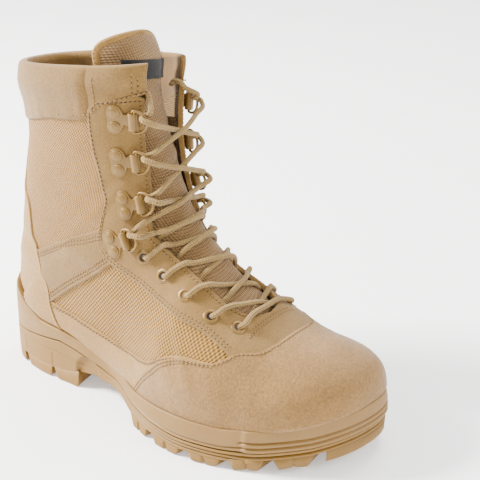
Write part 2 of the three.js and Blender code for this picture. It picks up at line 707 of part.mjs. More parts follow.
// The tread's ground line, which leaves the floor towards the toe.
const groundZ = (x) => TOE_SPRING * clamp((x - SPRING_START) / (LENGTH - SPRING_START), 0, 1) ** 1.5;

// A lug on an outline of plan points, from the ground line up into the slab.
function lug(points) {
  const sheet = new Sheet();
  const bottom = points.map((p) => sheet.add(new THREE.Vector3(p.x, p.y, groundZ(p.x))));
  const top = points.map((p) => sheet.add(new THREE.Vector3(p.x, p.y, height('roof', p.x) + 1.5)));
  sheet.bridge([bottom, top], true);
  const faces = THREE.ShapeUtils.triangulateShape(points, []);
  for (const [a, b, c] of faces) {
    sheet.triangle(bottom[a], bottom[c], bottom[b]);
    sheet.triangle(top[a], top[b], top[c]);
  }
  return sheet;
}

// Edge lugs: from 'start' to 'end' along the sole, 'depth' in from the edge, leaning by 'rake' towards the toe.
const EDGE_LUGS = [
  { side: 'lateral', start: 36, end: 56, depth: 27, rake: 0 },
  { side: 'lateral', start: 66, end: 86, depth: 27, rake: -3 },
  { side: 'medial', start: 36, end: 56, depth: 27, rake: 0 },
  { side: 'medial', start: 66, end: 86, depth: 27, rake: -3 },
  { side: 'lateral', start: 152, end: 174, depth: 26, rake: 6 },
  { side: 'lateral', start: 180, end: 206, depth: 30, rake: 6 },
  { side: 'lateral', start: 213, end: 237, depth: 32, rake: 4 },
  { side: 'lateral', start: 243, end: 264, depth: 30, rake: 2 },
  { side: 'lateral', start: 270, end: 291, depth: 26, rake: -2 },
  { side: 'medial', start: 160, end: 178, depth: 20, rake: 6 },
  { side: 'medial', start: 184, end: 204, depth: 24, rake: 6 },
  { side: 'medial', start: 211, end: 231, depth: 28, rake: 4 },
  { side: 'medial', start: 238, end: 257, depth: 28, rake: 2 },
  { side: 'medial', start: 263, end: 279, depth: 24, rake: -2 },
];

function edgeLug({ side: name, start, end, depth, rake }) {
  const side = SIDES.find((one) => one.name === name);
  const outer = [0, 1 / 3, 2 / 3, 1].map((t) => {
    const x = mix(start, end, t);
    return new THREE.Vector2(x, edgeY(x, side, 0.4));
  });
  const inner = [0.86, 0.5, 0.14].map((t, i) => {
    const x = mix(start, end, t) + rake;
    return new THREE.Vector2(x, edgeY(mix(start, end, t), side, 0.4) - side.sign * (depth - (i === 1 ? 0 : 5)));
  });
  const loop = [...outer, ...inner];
  return lug(side.sign < 0 ? loop : loop.reverse());
}

// Lugs inside the tread, as blocks with cut corners. 'turn' is in degrees.
const INNER_LUGS = [
  { x: 30, y: 1, long: 8, wide: 24, turn: 0 },
  { x: 43, y: 1, long: 8, wide: 20, turn: 0 },
  { x: 56, y: 1, long: 8, wide: 20, turn: 0 },
  { x: 69, y: 1, long: 8, wide: 20, turn: 0 },
  { x: 174, y: -7, long: 15, wide: 14, turn: 20 },
  { x: 178, y: 10, long: 13, wide: 13, turn: -20 },
  { x: 196, y: -15, long: 14, wide: 13, turn: 20 },
  { x: 199, y: 3, long: 14, wide: 14, turn: 0 },
  { x: 218, y: -12, long: 14, wide: 13, turn: 20 },
  { x: 221, y: 8, long: 14, wide: 14, turn: -20 },
  { x: 241, y: -8, long: 14, wide: 14, turn: 20 },
  { x: 243, y: 12, long: 13, wide: 13, turn: -20 },
];

function innerLug({ x, y, long, wide, turn }) {
  const angle = THREE.MathUtils.degToRad(turn);
  const a = long / 2;
  const b = wide / 2;
  const corners = [[-a, -b * 0.4], [-a * 0.4, -b], [a, -b * 0.6], [a, b * 0.6], [-a * 0.4, b], [-a, b * 0.4]];
  return lug(corners.map(([u, w]) => new THREE.Vector2(
    x + u * Math.cos(angle) - w * Math.sin(angle),
    y + u * Math.sin(angle) + w * Math.cos(angle),
  )));
}

// A block that fills the outline beyond a slanting cut across the sole: the heel's back or the toe's tip.
const HEEL_BLOCK = 27;
const TOE_BLOCK = 292;
const TOE_SLANT = 0.2;

function endLug(inside) {
  return lug(sortRound(insetOutline(0.4, PERIMETER).filter(inside)));
}

function sortRound(points) {
  const middle = points.reduce((sum, p) => sum.add(p), new THREE.Vector2()).divideScalar(points.length);
  return [...points].sort((p, q) => p.clone().sub(middle).angle() - q.clone().sub(middle).angle());
}

function outsole() {
  const lugs = [
    ...EDGE_LUGS.map(edgeLug),
    ...INNER_LUGS.map(innerLug),
    endLug((p) => p.x < HEEL_BLOCK),
    endLug((p) => p.x > TOE_BLOCK - TOE_SLANT * p.y),
  ];
  const blocks = lugs.map((sheet) => solid(sheet.geometry()));
  return geometryOf(joined([solid(outsoleSlab().geometry()), ...blocks]));
}

function midsole() {
  return geometryOf(solid(midsoleBody().geometry()).subtract(solid(upperForm().geometry())));
}

function insole() {
  const inset = FEATHER_INSET + WALL + 1.5;
  return ringSolid([
    { inset, z: (x) => height('floor', x) + 1.5 * GAP },
    { inset, z: (x) => height('floor', x) + 1.5 * GAP + INSOLE_THICKNESS },
  ]).geometry();
}

function upper() {
  const wall = upperSkin.sheet.thicken(upperSkin.thickness);
  let body = solid(wall.geometry());
  for (const frame of laceSites.flatMap(({ eyelets }) => eyelets)) {
    body = body.subtract(solid(eyeletHole().applyMatrix4(frame)));
  }
  return geometryOf(body);
}

function tongue() {
  const sheet = tongueSheet();
  return sheet.thicken(sheet.points.map(() => TONGUE_THICKNESS)).geometry();
}

// ---------------------------------------------------------------- assembly
const FINISHES = {
  rubber: { color: 0xb8986f, roughness: 0.75, metalness: 0 },
  suede: { color: 0xc2a67e, roughness: 0.95, metalness: 0 },
  cloth: { color: 0xc6a982, roughness: 0.9, metalness: 0 },
  cord: { color: 0xbda37b, roughness: 0.85, metalness: 0 },
  painted: { color: 0xae9168, roughness: 0.5, metalness: 0.2 },
};

const boot = new THREE.Group();
function place(name, geometry, finish, matrix = new THREE.Matrix4()) {
  const mesh = new THREE.Mesh(geometry, new THREE.MeshStandardMaterial(FINISHES[finish]));
  mesh.name = name;
  mesh.applyMatrix4(matrix);
  boot.add(mesh);
}

place('outsole', outsole(), 'rubber');
place('midsole', midsole(), 'rubber');
place('insole', insole(), 'cloth');
place('upper', upper(), 'suede');
place('tongue', tongue(), 'cloth');
place('laces', laceNet(), 'cord');
const eyeletGeometry = eyelet();
const plateGeometry = ringPlate();
const ringGeometry = laceRing();
for (const { side, eyelets, rings } of laceSites) {
  eyelets.forEach((frame, i) => place(`eyelet_${side.name}_${i + 1}`, eyeletGeometry, 'painted', frame));
  rings.forEach((frame, i) => {
    place(`ring_plate_${side.name}_${i + 1}`, plateGeometry, 'painted', frame);
    place(`lace_ring_${side.name}_${i + 1}`, ringGeometry, 'painted', frame);
  });
}
boot.position.set(-LENGTH / 2, -BOX_MIDDLE_Y, 0);

export default boot;
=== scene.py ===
"""Looks of a combat boot for the right foot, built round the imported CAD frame.

Sizes are millimetres on the last, the form the boot is made over: x from the heel's back, y from the heel's
middle, z from the ground. `to_frame` turns them into the metres of the shared frame.
"""

import logging
import math
from collections.abc import Callable, Sequence
from dataclasses import dataclass, field
from enum import Enum

import bmesh
import bpy
import numpy as np
from mathutils import Matrix, Vector

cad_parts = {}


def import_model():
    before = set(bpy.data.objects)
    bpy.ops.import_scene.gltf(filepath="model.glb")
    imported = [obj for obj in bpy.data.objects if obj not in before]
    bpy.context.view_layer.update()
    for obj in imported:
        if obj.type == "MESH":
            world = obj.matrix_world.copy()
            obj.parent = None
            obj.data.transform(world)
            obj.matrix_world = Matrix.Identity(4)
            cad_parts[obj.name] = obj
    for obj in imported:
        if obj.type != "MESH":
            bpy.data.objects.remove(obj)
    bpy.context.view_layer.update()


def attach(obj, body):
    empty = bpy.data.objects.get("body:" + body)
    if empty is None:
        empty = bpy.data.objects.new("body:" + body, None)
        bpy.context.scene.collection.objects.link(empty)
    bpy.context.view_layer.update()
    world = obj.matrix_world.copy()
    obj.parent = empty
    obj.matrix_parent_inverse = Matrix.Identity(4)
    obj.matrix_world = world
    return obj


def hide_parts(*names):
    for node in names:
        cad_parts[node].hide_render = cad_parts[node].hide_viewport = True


LOG = logging.getLogger("boot")
MM = 0.001
WELD_GAP = 0.01  # millimetres
OUTLINE_POINTS = 3000
NORMAL_SPAN = (-0.98, 20.9)  # stations between which a normal can be measured
ORIGIN = np.array([155.5, -5.2, 0.0])
QUARTER = math.pi / 2
SIDES = {-1: "lateral", 1: "medial"}

Array = np.ndarray
Rows = tuple[tuple[float, ...], ...]
Line3 = tuple[Array, Array, Array]  # points with two directions at each
Place = tuple[Array, Array, Array]  # station, angle, lift off the last
Chart = Callable[[Array, Array], Place]
Push = Callable[[float, Array, Array, Array], Array]
Socket = bpy.types.NodeSocket
Bm = bmesh.types.BMesh
Mesh = bpy.types.Mesh
Height = Callable[[Array], Array]
Block = tuple[Array, Array, float]  # outline on the ground, the same corners up in the sole, roundness


def to_frame(points: Array) -> Array:
    """Last coordinates in millimetres as frame coordinates in metres."""
    return (np.asarray(points, float) - ORIGIN) * MM


def smooth(t: Array) -> Array:
    """Soft step from 0 to 1."""
    c = np.clip(t, 0.0, 1.0)
    return c * c * (3 - 2 * c)


def mix(a: Array, b: Array, t: Array) -> Array:
    """Straight blend from a to b."""
    return a + (b - a) * t


def unit(vectors: Array) -> Array:
    """Vectors scaled to length one."""
    return vectors / np.maximum(np.linalg.norm(vectors, axis=-1, keepdims=True), 1e-12)


def walk(points: Array) -> Array:
    """Distance walked from the first row of points to each."""
    steps = np.cumsum(np.linalg.norm(np.diff(points, axis=0), axis=-1), axis=0)
    return np.concatenate([np.zeros_like(steps[:1]), steps])


def read_at(goal: Array, walked: Array, *lines: Array) -> tuple[Array, ...]:
    """Lines of points read at new distances along them."""
    return tuple(np.stack([np.interp(goal, walked, row) for row in line.T], -1) for line in lines)


def heading(points: Array) -> Array:
    """Direction along a line at each of its points."""
    return unit(np.gradient(points, axis=0))


def spline(knots: Array, rows: Array, at: Array) -> Array:
    """A smooth curve through table rows.

    Args:
        knots: Rising key of each row.
        rows: Values, one row per key.
        at: Keys to read.

    Returns:
        The values at those keys.
    """
    rows = np.asarray(rows, float)
    knots = np.asarray(knots, float)
    at = np.clip(at, knots[0], knots[-1])
    last = len(knots) - 1
    i = np.clip(np.searchsorted(knots, at, side="right") - 1, 0, last - 1)
    slopes = np.gradient(rows, knots, axis=0)
    span = knots[i + 1] - knots[i]
    f = (at - knots[i]) / span
    if rows.ndim > 1:
        f, span = f[..., None], span[..., None]
    near, far = rows[i], rows[i + 1]
    return (
        near * (2 * f**3 - 3 * f**2 + 1)
        + slopes[i] * span * (f**3 - 2 * f**2 + f)
        + far * (3 * f**2 - 2 * f**3)
        + slopes[i + 1] * span * (f**3 - f**2)
    )


@dataclass(frozen=True)
class Line:
    """A line on the last, as a table of stations and angles in degrees."""

    rows: Rows

    def at(self, t: Array) -> tuple[Array, Array]:
        """Station and angle in radians at a share of the line's length."""
        table = np.array(self.rows)
        steps = np.hypot(np.diff(table[:, 0]) * 12, np.diff(table[:, 1]))
        keys = np.concatenate([[0.0], np.cumsum(steps)])
        found = spline(keys / keys[-1], table, t)
        return found[..., 0], np.radians(found[..., 1])

    def angle(self, v: Array) -> Array:
        """Angle in radians at a station, for a line whose stations rise."""
        table = np.array(self.rows)
        return np.radians(spline(table[:, 0], table[:, 1], v))


@dataclass(frozen=True)
class Last:
    """The boot's form: the sole's outline and heights, and the upper's sections."""

    length: float = 311.0
    ball_width: float = 122.0
    toe_tip: float = 0.165
    feather_inset: float = 5.6
    toe_power: float = 3.4
    toe_fall: float = 0.26
    flank: float = 2.4
    throat: float = 1.1
    collar: float = 19.0
    wall: float = 2.8
    outline_rows: Rows = (
        (0.041, 0.240, 0.240), (0.145, 0.338, 0.353), (0.280, 0.342, 0.318), (0.400, 0.348, 0.290),
        (0.500, 0.470, 0.315), (0.590, 0.540, 0.376), (0.690, 0.545, 0.440), (0.810, 0.456, 0.455),
        (0.920, 0.272, 0.425), (0.981, 0.060, 0.330),
    )
    # x, floor, rim, joint, roof
    height_rows: Rows = (
        (0, 36, 73, 28, 9), (13, 36, 67, 28, 9), (22, 36, 59, 28.3, 9), (32, 36, 52, 29, 9),
        (50, 36, 45, 31.5, 9), (70, 35, 43, 33.5, 9.5), (90, 31, 38.5, 30, 13), (106, 26.5, 33, 25.5, 15),
        (120, 23.5, 28.5, 21.5, 14.5), (145, 21, 27, 18.5, 11), (170, 21, 29, 16, 8),
        (200, 21, 30, 14, 6.5), (236, 21, 29.5, 14, 6.5), (262, 22, 32.5, 15.5, 9), (290, 26, 38, 20, 14),
        (311, 31, 43, 25, 17.5),
    )
    # topX, topZ, lowX, turn, backZ, lateral, medial, ridge, widest, crown, roll
    section_rows: Rows = (
        (250, 80, 250, 0, 0, 53, 52, 6, 0.66, 2.35, 0), (233, 89, 226, 0, 0, 60.5, 51.5, 4, 0.66, 2.25, 0),
        (215, 101, 198, 0, 0, 63.5, 46.5, 2.5, 0.68, 2.15, 0),
        (198, 116, 168, 0, 0, 59, 40, 1.5, 0.67, 2.05, 0), (183, 131, 138, 0, 0, 48.5, 36.5, 1, 0.62, 2, 0),
        (170, 145, 108, 0, 0, 42.5, 36.5, 0.5, 0.56, 2, 0), (161, 158, 78, 0, 0, 42, 39, 0, 0.52, 2, 0),
        (156, 168, 45, 0, 0, 42.5, 40.5, 0, 0.48, 2, 0), (153, 176, 45, 30, 0, 42.5, 41, 0, 0.46, 2.1, 0),
        (151, 183, 45, 60, 0, 42.5, 41, 0, 0.46, 2.15, 0),
        (150, 190, 45, 90, 36, 42.5, 41, 0, 0.46, 2.2, 0), (149, 197, 45, 90, 56, 42, 41, 0, 0.47, 2.2, 0),
        (148.5, 204, 45, 90, 80, 42, 41, 0, 0.48, 2.2, 0),
        (148.5, 211, 45, 90, 105, 41.5, 41, 0, 0.49, 2.2, 0),
        (148.5, 218, 45, 90, 131, 41.5, 41, 0, 0.5, 2.2, 0),
        (149, 226, 45, 90, 158, 42, 41, 0, 0.5, 2.2, 0),
        (150, 234, 45, 90, 183, 42.5, 41.5, 0, 0.5, 2.2, -0.03),
        (151, 241, 45, 90, 206, 43, 42, 0, 0.5, 2.2, -0.06),
        (152, 248, 45, 90, 222, 45, 44, 0, 0.5, 2.2, -0.09),
        (153, 256, 45, 90, 237, 43.5, 42.5, 0, 0.5, 2.2, -0.1),
        (152, 266, 45, 90, 256, 42, 41, 0, 0.5, 2.2, -0.1),
        (150, 277, 45, 90, 275, 41, 40, 0, 0.5, 2.2, -0.1),
    )
    # z, x of the back seam
    back_rows: Rows = (
        (36, 6.6), (56, 4.8), (80, 8), (105, 13), (131, 17.5), (158, 22), (183, 26), (206, 27), (222, 22.5),
        (237, 23), (275, 24),
    )
    # station, half width of the throat
    gap_rows: Rows = (
        (1.1, 0), (1.25, 13), (1.6, 18), (2.15, 22.5), (3.1, 24.5), (4.8, 26), (5.6, 27.4), (6.3, 25),
        (6.8, 21.5), (7.6, 20), (9.4, 18.5), (12, 19.4), (14, 20), (19, 21.5),
    )
    cache: dict[float, Array] = field(default_factory=dict, compare=False, repr=False)

    def outline(self, inset: float) -> Array:
        """The sole's outline moved in by an inset, evenly spaced from the heel's back by the lateral side."""
        if inset not in self.cache:
            rows = np.array(self.outline_rows)
            lateral = np.c_[rows[:, 0] * self.length, -rows[:, 1] * self.ball_width]
            medial = np.c_[rows[:, 0] * self.length, rows[:, 2] * self.ball_width][::-1]
            tip = [[self.length, self.toe_tip * self.ball_width]]
            knots = np.vstack([[[0.0, 0.0]], lateral, tip, medial])
            n = len(knots)
            t = np.linspace(0, n, 6000, endpoint=False)
            i = t.astype(int)
            f = (t - i)[:, None]
            a, b, c, d = (knots[(i + k) % n] for k in (-1, 0, 1, 2))
            fine = b + 0.5 * f * (c - a + f * (2 * a - 5 * b + 4 * c - d + f * (3 * b - a - 3 * c + d)))
            ring = np.vstack([fine, fine[:1]])
            walked = walk(ring)
            goal = np.linspace(0, walked[-1], OUTLINE_POINTS, endpoint=False)
            (even,) = read_at(goal, walked, ring)
            along = unit(np.roll(even, -1, 0) - np.roll(even, 1, 0))
            self.cache[inset] = even + np.c_[-along[:, 1], along[:, 0]] * inset
        return self.cache[inset]

    def edge(self, x: Array, side: Array, inset: float | None = None) -> Array:
        """Sideways place of the inset outline at x, lateral where side is negative."""
        points = self.outline(self.feather_inset if inset is None else inset)
        tip, back = int(points[:, 0].argmax()), int(points[:, 0].argmin())
        back = back - len(points) if back > tip else back
        lateral = points[np.arange(back, tip + 1) % len(points)]
        medial = points[np.arange(tip, back + len(points) + 1) % len(points)][::-1]
        read = [np.interp(x, np.maximum.accumulate(p[:, 0]), p[:, 1]) for p in (lateral, medial)]
        return np.where(np.asarray(side) < 0, read[0], read[1])

    def height(self, column: str, x: Array) -> Array:
        """Height of the floor, rim, joint or roof at x."""
        rows = np.array(self.height_rows, float)
        return np.interp(x, rows[:, 0], rows[:, ("x", "floor", "rim", "joint", "roof").index(column)])

    def _row(self, column: int, v: Array) -> Array:
        """A section column at fractional rows."""
        table = np.array(self.section_rows, float)[:, column]
        last = len(table) - 1
        v = np.clip(v, 0, last)
        i = np.clip(np.floor(v).astype(int), 0, last - 1)
        f = v - i
        a, b, c, d = (table[np.clip(i + k, 0, last)] for k in (-1, 0, 1, 2))
        return b + 0.5 * f * (c - a + f * (2 * a - 5 * b + 4 * c - d + f * (3 * b - a - 3 * c + d)))

    def _shape(self, v: Array, side: Array) -> dict[str, Array]:
        """Every measure of the sections at stations v, on the given sides."""
        names = "top_x top_z low_x turn back_z lateral medial ridge widest crown roll".split()
        row = {name: self._row(i, v) for i, name in enumerate(names)}
        wide = np.where(side < 0, -row["lateral"], row["medial"])
        turn = np.radians(np.clip(row["turn"], 0, 90))
        closed = turn > QUARTER - 1e-6
        feather = self.outline(self.feather_inset)
        heel_x = feather[:, 0].min()
        tip = feather[feather[:, 0].argmax()]
        back = np.array(self.back_rows, float)
        going_back = row["low_x"] - (row["low_x"] - heel_x) * np.sin(turn)
        low_x = np.where(closed, np.interp(row["back_z"], back[:, 0], back[:, 1]), going_back)
        low_z = self.height("floor", low_x) + 0.4
        low_z = np.where(closed, np.maximum(row["back_z"], low_z), low_z)
        low_y = np.where(closed, 0.0, self.edge(low_x, side))
        toe = v < 0
        s = np.sin(np.clip(-v, 0, 1) * QUARTER)
        k = (1 - s**self.toe_power) ** (1 / self.toe_power)
        start_x, start_z, start_ridge = (np.array(self.section_rows)[0, i] for i in (0, 1, 7))
        toe_x = mix(start_x, tip[0], s)
        floor = self.height("floor", toe_x) + 0.4
        rise = (start_z - self.height("floor", start_x) - 0.4) * (1 - self.toe_fall * s) * k
        foot = self.edge(toe_x, side)
        start_foot = self.edge(np.full_like(toe_x, start_x), side)
        row["top_x"] = np.where(toe, toe_x, row["top_x"])
        row["top_z"] = np.where(toe, floor + rise, row["top_z"])
        row["low_x"] = np.where(toe, toe_x, low_x)
        row["low_z"] = np.where(toe, floor, low_z)
        row["low_y"] = np.where(toe, foot, low_y)
        row["wide"] = np.where(toe, foot + (wide - start_foot) * k, wide)
        row["ridge"] = np.where(toe, mix(start_ridge, tip[1], s * s), row["ridge"])
        return row

    def skin(self, v: Array, a: Array) -> Array:
        """Points of the upper's outside.

        Args:
            v: Stations, toe to collar.
            a: Angles from the ridge, negative on the lateral side.

        Returns:
            Points in last coordinates.
        """
        v, a = np.broadcast_arrays(np.asarray(v, float), np.asarray(a, float))
        side = np.where(a < 0, -1, 1)
        angle = np.clip(np.abs(a), 0, math.pi)
        row = self._shape(v, side)
        upper_half = angle <= QUARTER
        power = 2 / row["crown"]
        sine, cosine = np.maximum(np.sin(angle), 0), np.maximum(np.cos(angle), 0)
        down = row["widest"] * (1 - cosine**power)
        y = mix(row["ridge"], row["wide"], sine**power)
        turn = np.clip(angle - QUARTER, 0, QUARTER)
        flank = 2 / self.flank
        down = np.where(upper_half, down, mix(row["widest"], 1, np.sin(turn) ** flank))
        y = np.where(upper_half, y, mix(row["low_y"], row["wide"], np.maximum(np.cos(turn), 0) ** flank))
        z = mix(row["top_z"], row["low_z"], down) + row["roll"] * y
        return np.stack([mix(row["top_x"], row["low_x"], down), y, z], axis=-1)

    def normal(self, v: Array, a: Array) -> Array:
        """Outward normals of the upper's outside."""
        v, side = np.asarray(v, float), np.where(np.asarray(a) < 0, -1, 1)
        b = side * np.clip(np.abs(a), 0.05, math.pi - 0.05)
        # a longer step round the ankle, where the sections crowd together
        step = 0.03 + 0.4 * smooth((v - 5.5) / 2) * (1 - smooth((v - 14) / 2))
        along_v = self.skin(v + step, b) - self.skin(v - step, b)
        along_a = self.skin(v, b + side * 0.03) - self.skin(v, b - side * 0.03)
        return unit(np.cross(along_a, along_v) * side[..., None])

    def surface(self, v: Array, a: Array) -> tuple[Array, Array]:
        """Points of the upper's outside with their outward normals."""
        return self.skin(v, a), self.normal(np.clip(v, *NORMAL_SPAN), a)

    def throat_angle(self, v: Array, side: int, extra: float = 0.0) -> Array:
        """Angle of the throat's edge, or of a line 'extra' further out on the section."""
        rows = np.array(self.gap_rows, float)
        gap = np.where(v <= self.throat, 0.0, np.interp(v, rows[:, 0], rows[:, 1])) + extra
        return self.angle_at(v, side, gap)

    def angle_at(self, v: Array, side: int, gap: Array) -> Array:
        """Angle at which a section is 'gap' away from its ridge."""
        row = self._shape(np.asarray(v, float), np.full(np.shape(v), side))
        half = np.maximum(np.abs(row["wide"] - row["ridge"]), 1e-6)
        return np.arcsin(np.clip(gap / half, 0, 1) ** (row["crown"] / 2))


LAST = Last()


# ---------------------------------------------------------------- finishes
class Slot(Enum):
    """The record's material slots."""

    TREAD = "tread_rubber"
    CUP = "cup_rubber"
    INSOLE = "insole_cloth"
    SUEDE = "suede"
    TONGUE = "tongue_cloth"
    LACE = "lace_cord"
    METAL = "hardware"


DEEPEN = 1.85  # the studio's light washes colours out, so they are mixed stronger
LEVEL = 0.30  # and darker, for a bright room
GREY_SHARES = (0.3, 0.59, 0.11)


def tone(red: float, green: float, blue: float) -> tuple[float, float, float, float]:
    """A colour as it should look, in everyday 0-255 values, as the linear values the shaders need."""
    parts = [c / 255 for c in (red, green, blue)]
    linear = [c / 12.92 if c <= 0.04045 else ((c + 0.055) / 1.055) ** 2.4 for c in parts]
    grey = sum(share * c for share, c in zip(GREY_SHARES, linear, strict=True))
    return (*(max(0.002, (grey + (c - grey) * DEEPEN) * LEVEL) for c in linear), 1.0)


class Shader:
    """A material's nodes, written from plain calls."""

    def __init__(self, name: str) -> None:
        self.material = bpy.data.materials.new(name)
        self.material.use_nodes = True
        self.tree = self.material.node_tree
        self.tree.nodes.clear()
        self.surface = self.add("ShaderNodeBsdfPrincipled", {})
        out = self.add("ShaderNodeOutputMaterial", {})
        self.tree.links.new(self.surface.outputs[0], out.inputs["Surface"])
        self.place = self.add("ShaderNodeTexCoord", {}).outputs["Object"]

    def add(self, kind: str, inputs: dict, **settings: object) -> bpy.types.Node:
        """Adds a node.

        Args:
            kind: The node's type.
            inputs: Socket names or numbers with a value or a socket to link.
            settings: The node's own settings.

        Returns:
            The node.
        """
        node = self.tree.nodes.new(kind)
        for key, value in settings.items():
            setattr(node, key, value)
        for key, value in inputs.items():
            if isinstance(value, Socket):
                self.tree.links.new(value, node.inputs[key])
            else:
                node.inputs[key].default_value = value
        return node

    def math(self, operation: str, a: object, b: object = 0.0) -> Socket:
        """A sum, product or other function of one or two numbers."""
        return self.add("ShaderNodeMath", {0: a, 1: b}, operation=operation).outputs[0]

    def noise(self, size: float, detail: float, stretch: tuple | None = None) -> Socket:
        """Noise between 0 and 1 with grains of about 'size' millimetres."""
        vector = self.place
        if stretch:
            vector = self.add("ShaderNodeMapping", {"Vector": vector, "Scale": stretch}).outputs[0]
        made = self.add("ShaderNodeTexNoise", {"Vector": vector, "Scale": 1 / (size * MM), "Detail": detail})
        return made.outputs["Fac"]

    def spread(self, value: object, low: float, high: float, into: tuple = (0.0, 1.0)) -> Socket:
        """A number stretched from low..high into another range, clamped."""
        names = {"Value": value, "From Min": low, "From Max": high, "To Min": into[0], "To Max": into[1]}
        return self.add("ShaderNodeMapRange", names, clamp=True).outputs[0]

    def blend(self, share: object, a: object, b: object) -> Socket:
        """A colour between a and b."""
        node = self.add("ShaderNodeMix", {0: share, 6: a, 7: b}, data_type="RGBA")
        return node.outputs[2]

    def scale(self, colour: object, value: object) -> Socket:
        """A colour made lighter or darker."""
        colour = colour if isinstance(colour, Socket) else colour[:3]
        return self.add("ShaderNodeVectorMath", {0: colour, "Scale": value}, operation="SCALE").outputs[0]

    def bump(self, height: object, depth: float, strength: float, below: object = None) -> Socket:
        """A bumped normal, depth in millimetres."""
        inputs = {"Height": height, "Distance": depth * MM, "Strength": strength}
        if below is not None:
            inputs["Normal"] = below
        return self.add("ShaderNodeBump", inputs).outputs[0]

    def finish(self, colour: object, normal: object = None, **values: object) -> bpy.types.Material:
        """Plugs in the colour, the normal and the surface's other values."""
        sockets = {"Base Color": colour, "Normal": normal}
        sockets.update({key.replace("_", " "): value for key, value in values.items()})
        for key, value in sockets.items():
            if isinstance(value, Socket):
                self.tree.links.new(value, self.surface.inputs[key])
            elif value is not None:
                self.surface.inputs[key].default_value = value
        return self.material


@dataclass(frozen=True)
class Suede:
    """Brushed leather: a nap of fine fibres with soft light and dark strokes."""

    name: str
    colour: tuple[float, float, float, float]
    grain: float  # millimetres
    relief: float  # millimetres
    mottle: float

    def make(self) -> bpy.types.Material:
        """Builds the material."""
        s = Shader(self.name)
        strokes = s.noise(26, 3.0)
        patches = s.noise(5.5, 4.0)
        nap = s.noise(self.grain, 3.0)
        fibre = s.noise(self.grain * 0.45, 2.0)
        light = s.math("ADD", s.spread(strokes, 0.3, 0.7, (-0.04, 0.04)), 1.0)
        light = s.math("ADD", light, s.spread(patches, 0.25, 0.75, (-self.mottle * 0.5, self.mottle * 0.5)))
        light = s.math("ADD", light, s.spread(nap, 0.3, 0.7, (-self.mottle * 3.0, self.mottle * 2.6)))
        dusty = s.blend(s.spread(strokes, 0.5, 0.9, (0.0, 0.5)), self.colour, tone(206, 182, 150))
        height = s.math("ADD", s.math("MULTIPLY", fibre, 0.5), nap)
        normal = s.bump(height, self.relief, 0.8)
        normal = s.bump(patches, 0.35, 0.5, normal)
        return s.finish(s.scale(dusty, light), normal, Roughness=0.93, Sheen_Weight=0.18, Sheen_Roughness=0.5)


@dataclass(frozen=True)
class Weave:
    """Plain-woven cloth, laid out by the piece's own threads in millimetres."""

    name: str
    colour: tuple[float, float, float, float]
    pitch: tuple[float, float]  # millimetres between threads, across and along
    relief: float
    contrast: float
    turn: float = 0.0  # degrees
    flat: float = 0.0  # how much the threads lie along one way

    def make(self) -> bpy.types.Material:
        """Builds the material."""
        s = Shader(self.name)
        threads = s.add("ShaderNodeUVMap", {}, uv_map="weave").outputs[0]
        turned = s.add("ShaderNodeMapping", {"Vector": threads, "Rotation": (0, 0, math.radians(self.turn))})
        wobble = s.add("ShaderNodeTexNoise", {"Vector": threads, "Scale": 0.03, "Detail": 1.0})
        sway = s.scale(wobble.outputs["Color"], 0.7)
        shifted = s.add("ShaderNodeVectorMath", {0: turned.outputs[0], 1: sway}, operation="ADD")
        parts = s.add("ShaderNodeSeparateXYZ", {0: shifted.outputs[0]})
        phases = [s.math("MULTIPLY", parts.outputs[i], math.pi / self.pitch[i]) for i in (0, 1)]
        across, along = (s.math("SINE", phase) for phase in phases)
        checker = s.math("MULTIPLY", across, along)
        rib = s.math("SUBTRACT", s.math("ABSOLUTE", along), 0.5)
        height = s.math("ADD", checker, s.math("MULTIPLY", rib, self.flat))
        shade = s.spread(height, -0.9, 0.9, (1 - self.contrast, 1 + self.contrast * 0.55))
        cloud = s.spread(s.noise(14, 3.0), 0.3, 0.7, (0.96, 1.04))
        yarn = s.spread(s.noise(1.6, 2.0), 0.3, 0.7, (0.9, 1.1))
        light = s.math("MULTIPLY", s.math("MULTIPLY", shade, cloud), yarn)
        normal = s.bump(height, self.relief, 0.9)
        normal = s.bump(s.noise(0.35, 2.0), 0.08, 0.5, normal)
        colour = s.scale(self.colour, light)
        return s.finish(colour, normal, Roughness=0.88, Sheen_Weight=0.12, Sheen_Roughness=0.4)


@dataclass(frozen=True)
class Rubber:
    """Moulded rubber, matt, with a faint texture and dull handling marks."""

    name: str
    colour: tuple[float, float, float, float]
    roughness: float
    dust: float

    def make(self) -> bpy.types.Material:
        """Builds the material."""
        s = Shader(self.name)
        cloud = s.spread(s.noise(22, 4.0), 0.3, 0.7, (0.96, 1.035))
        speck = s.spread(s.noise(1.4, 3.0), 0.3, 0.7, (0.97, 1.03))
        rub = s.spread(s.noise(7, 5.0, (1.0, 1.0, 4.0)), 0.52, 0.72)
        colour = s.blend(s.math("MULTIPLY", rub, self.dust), self.colour, tone(214, 190, 158))
        normal = s.bump(s.noise(0.5, 3.0), 0.07, 0.6)
        normal = s.bump(s.noise(9, 2.0), 0.25, 0.35, normal)
        gloss = s.spread(rub, 0.0, 1.0, (self.roughness, self.roughness + 0.12))
        light = s.math("MULTIPLY", cloud, speck)
        return s.finish(s.scale(colour, light), normal, Roughness=gloss, IOR=1.48)


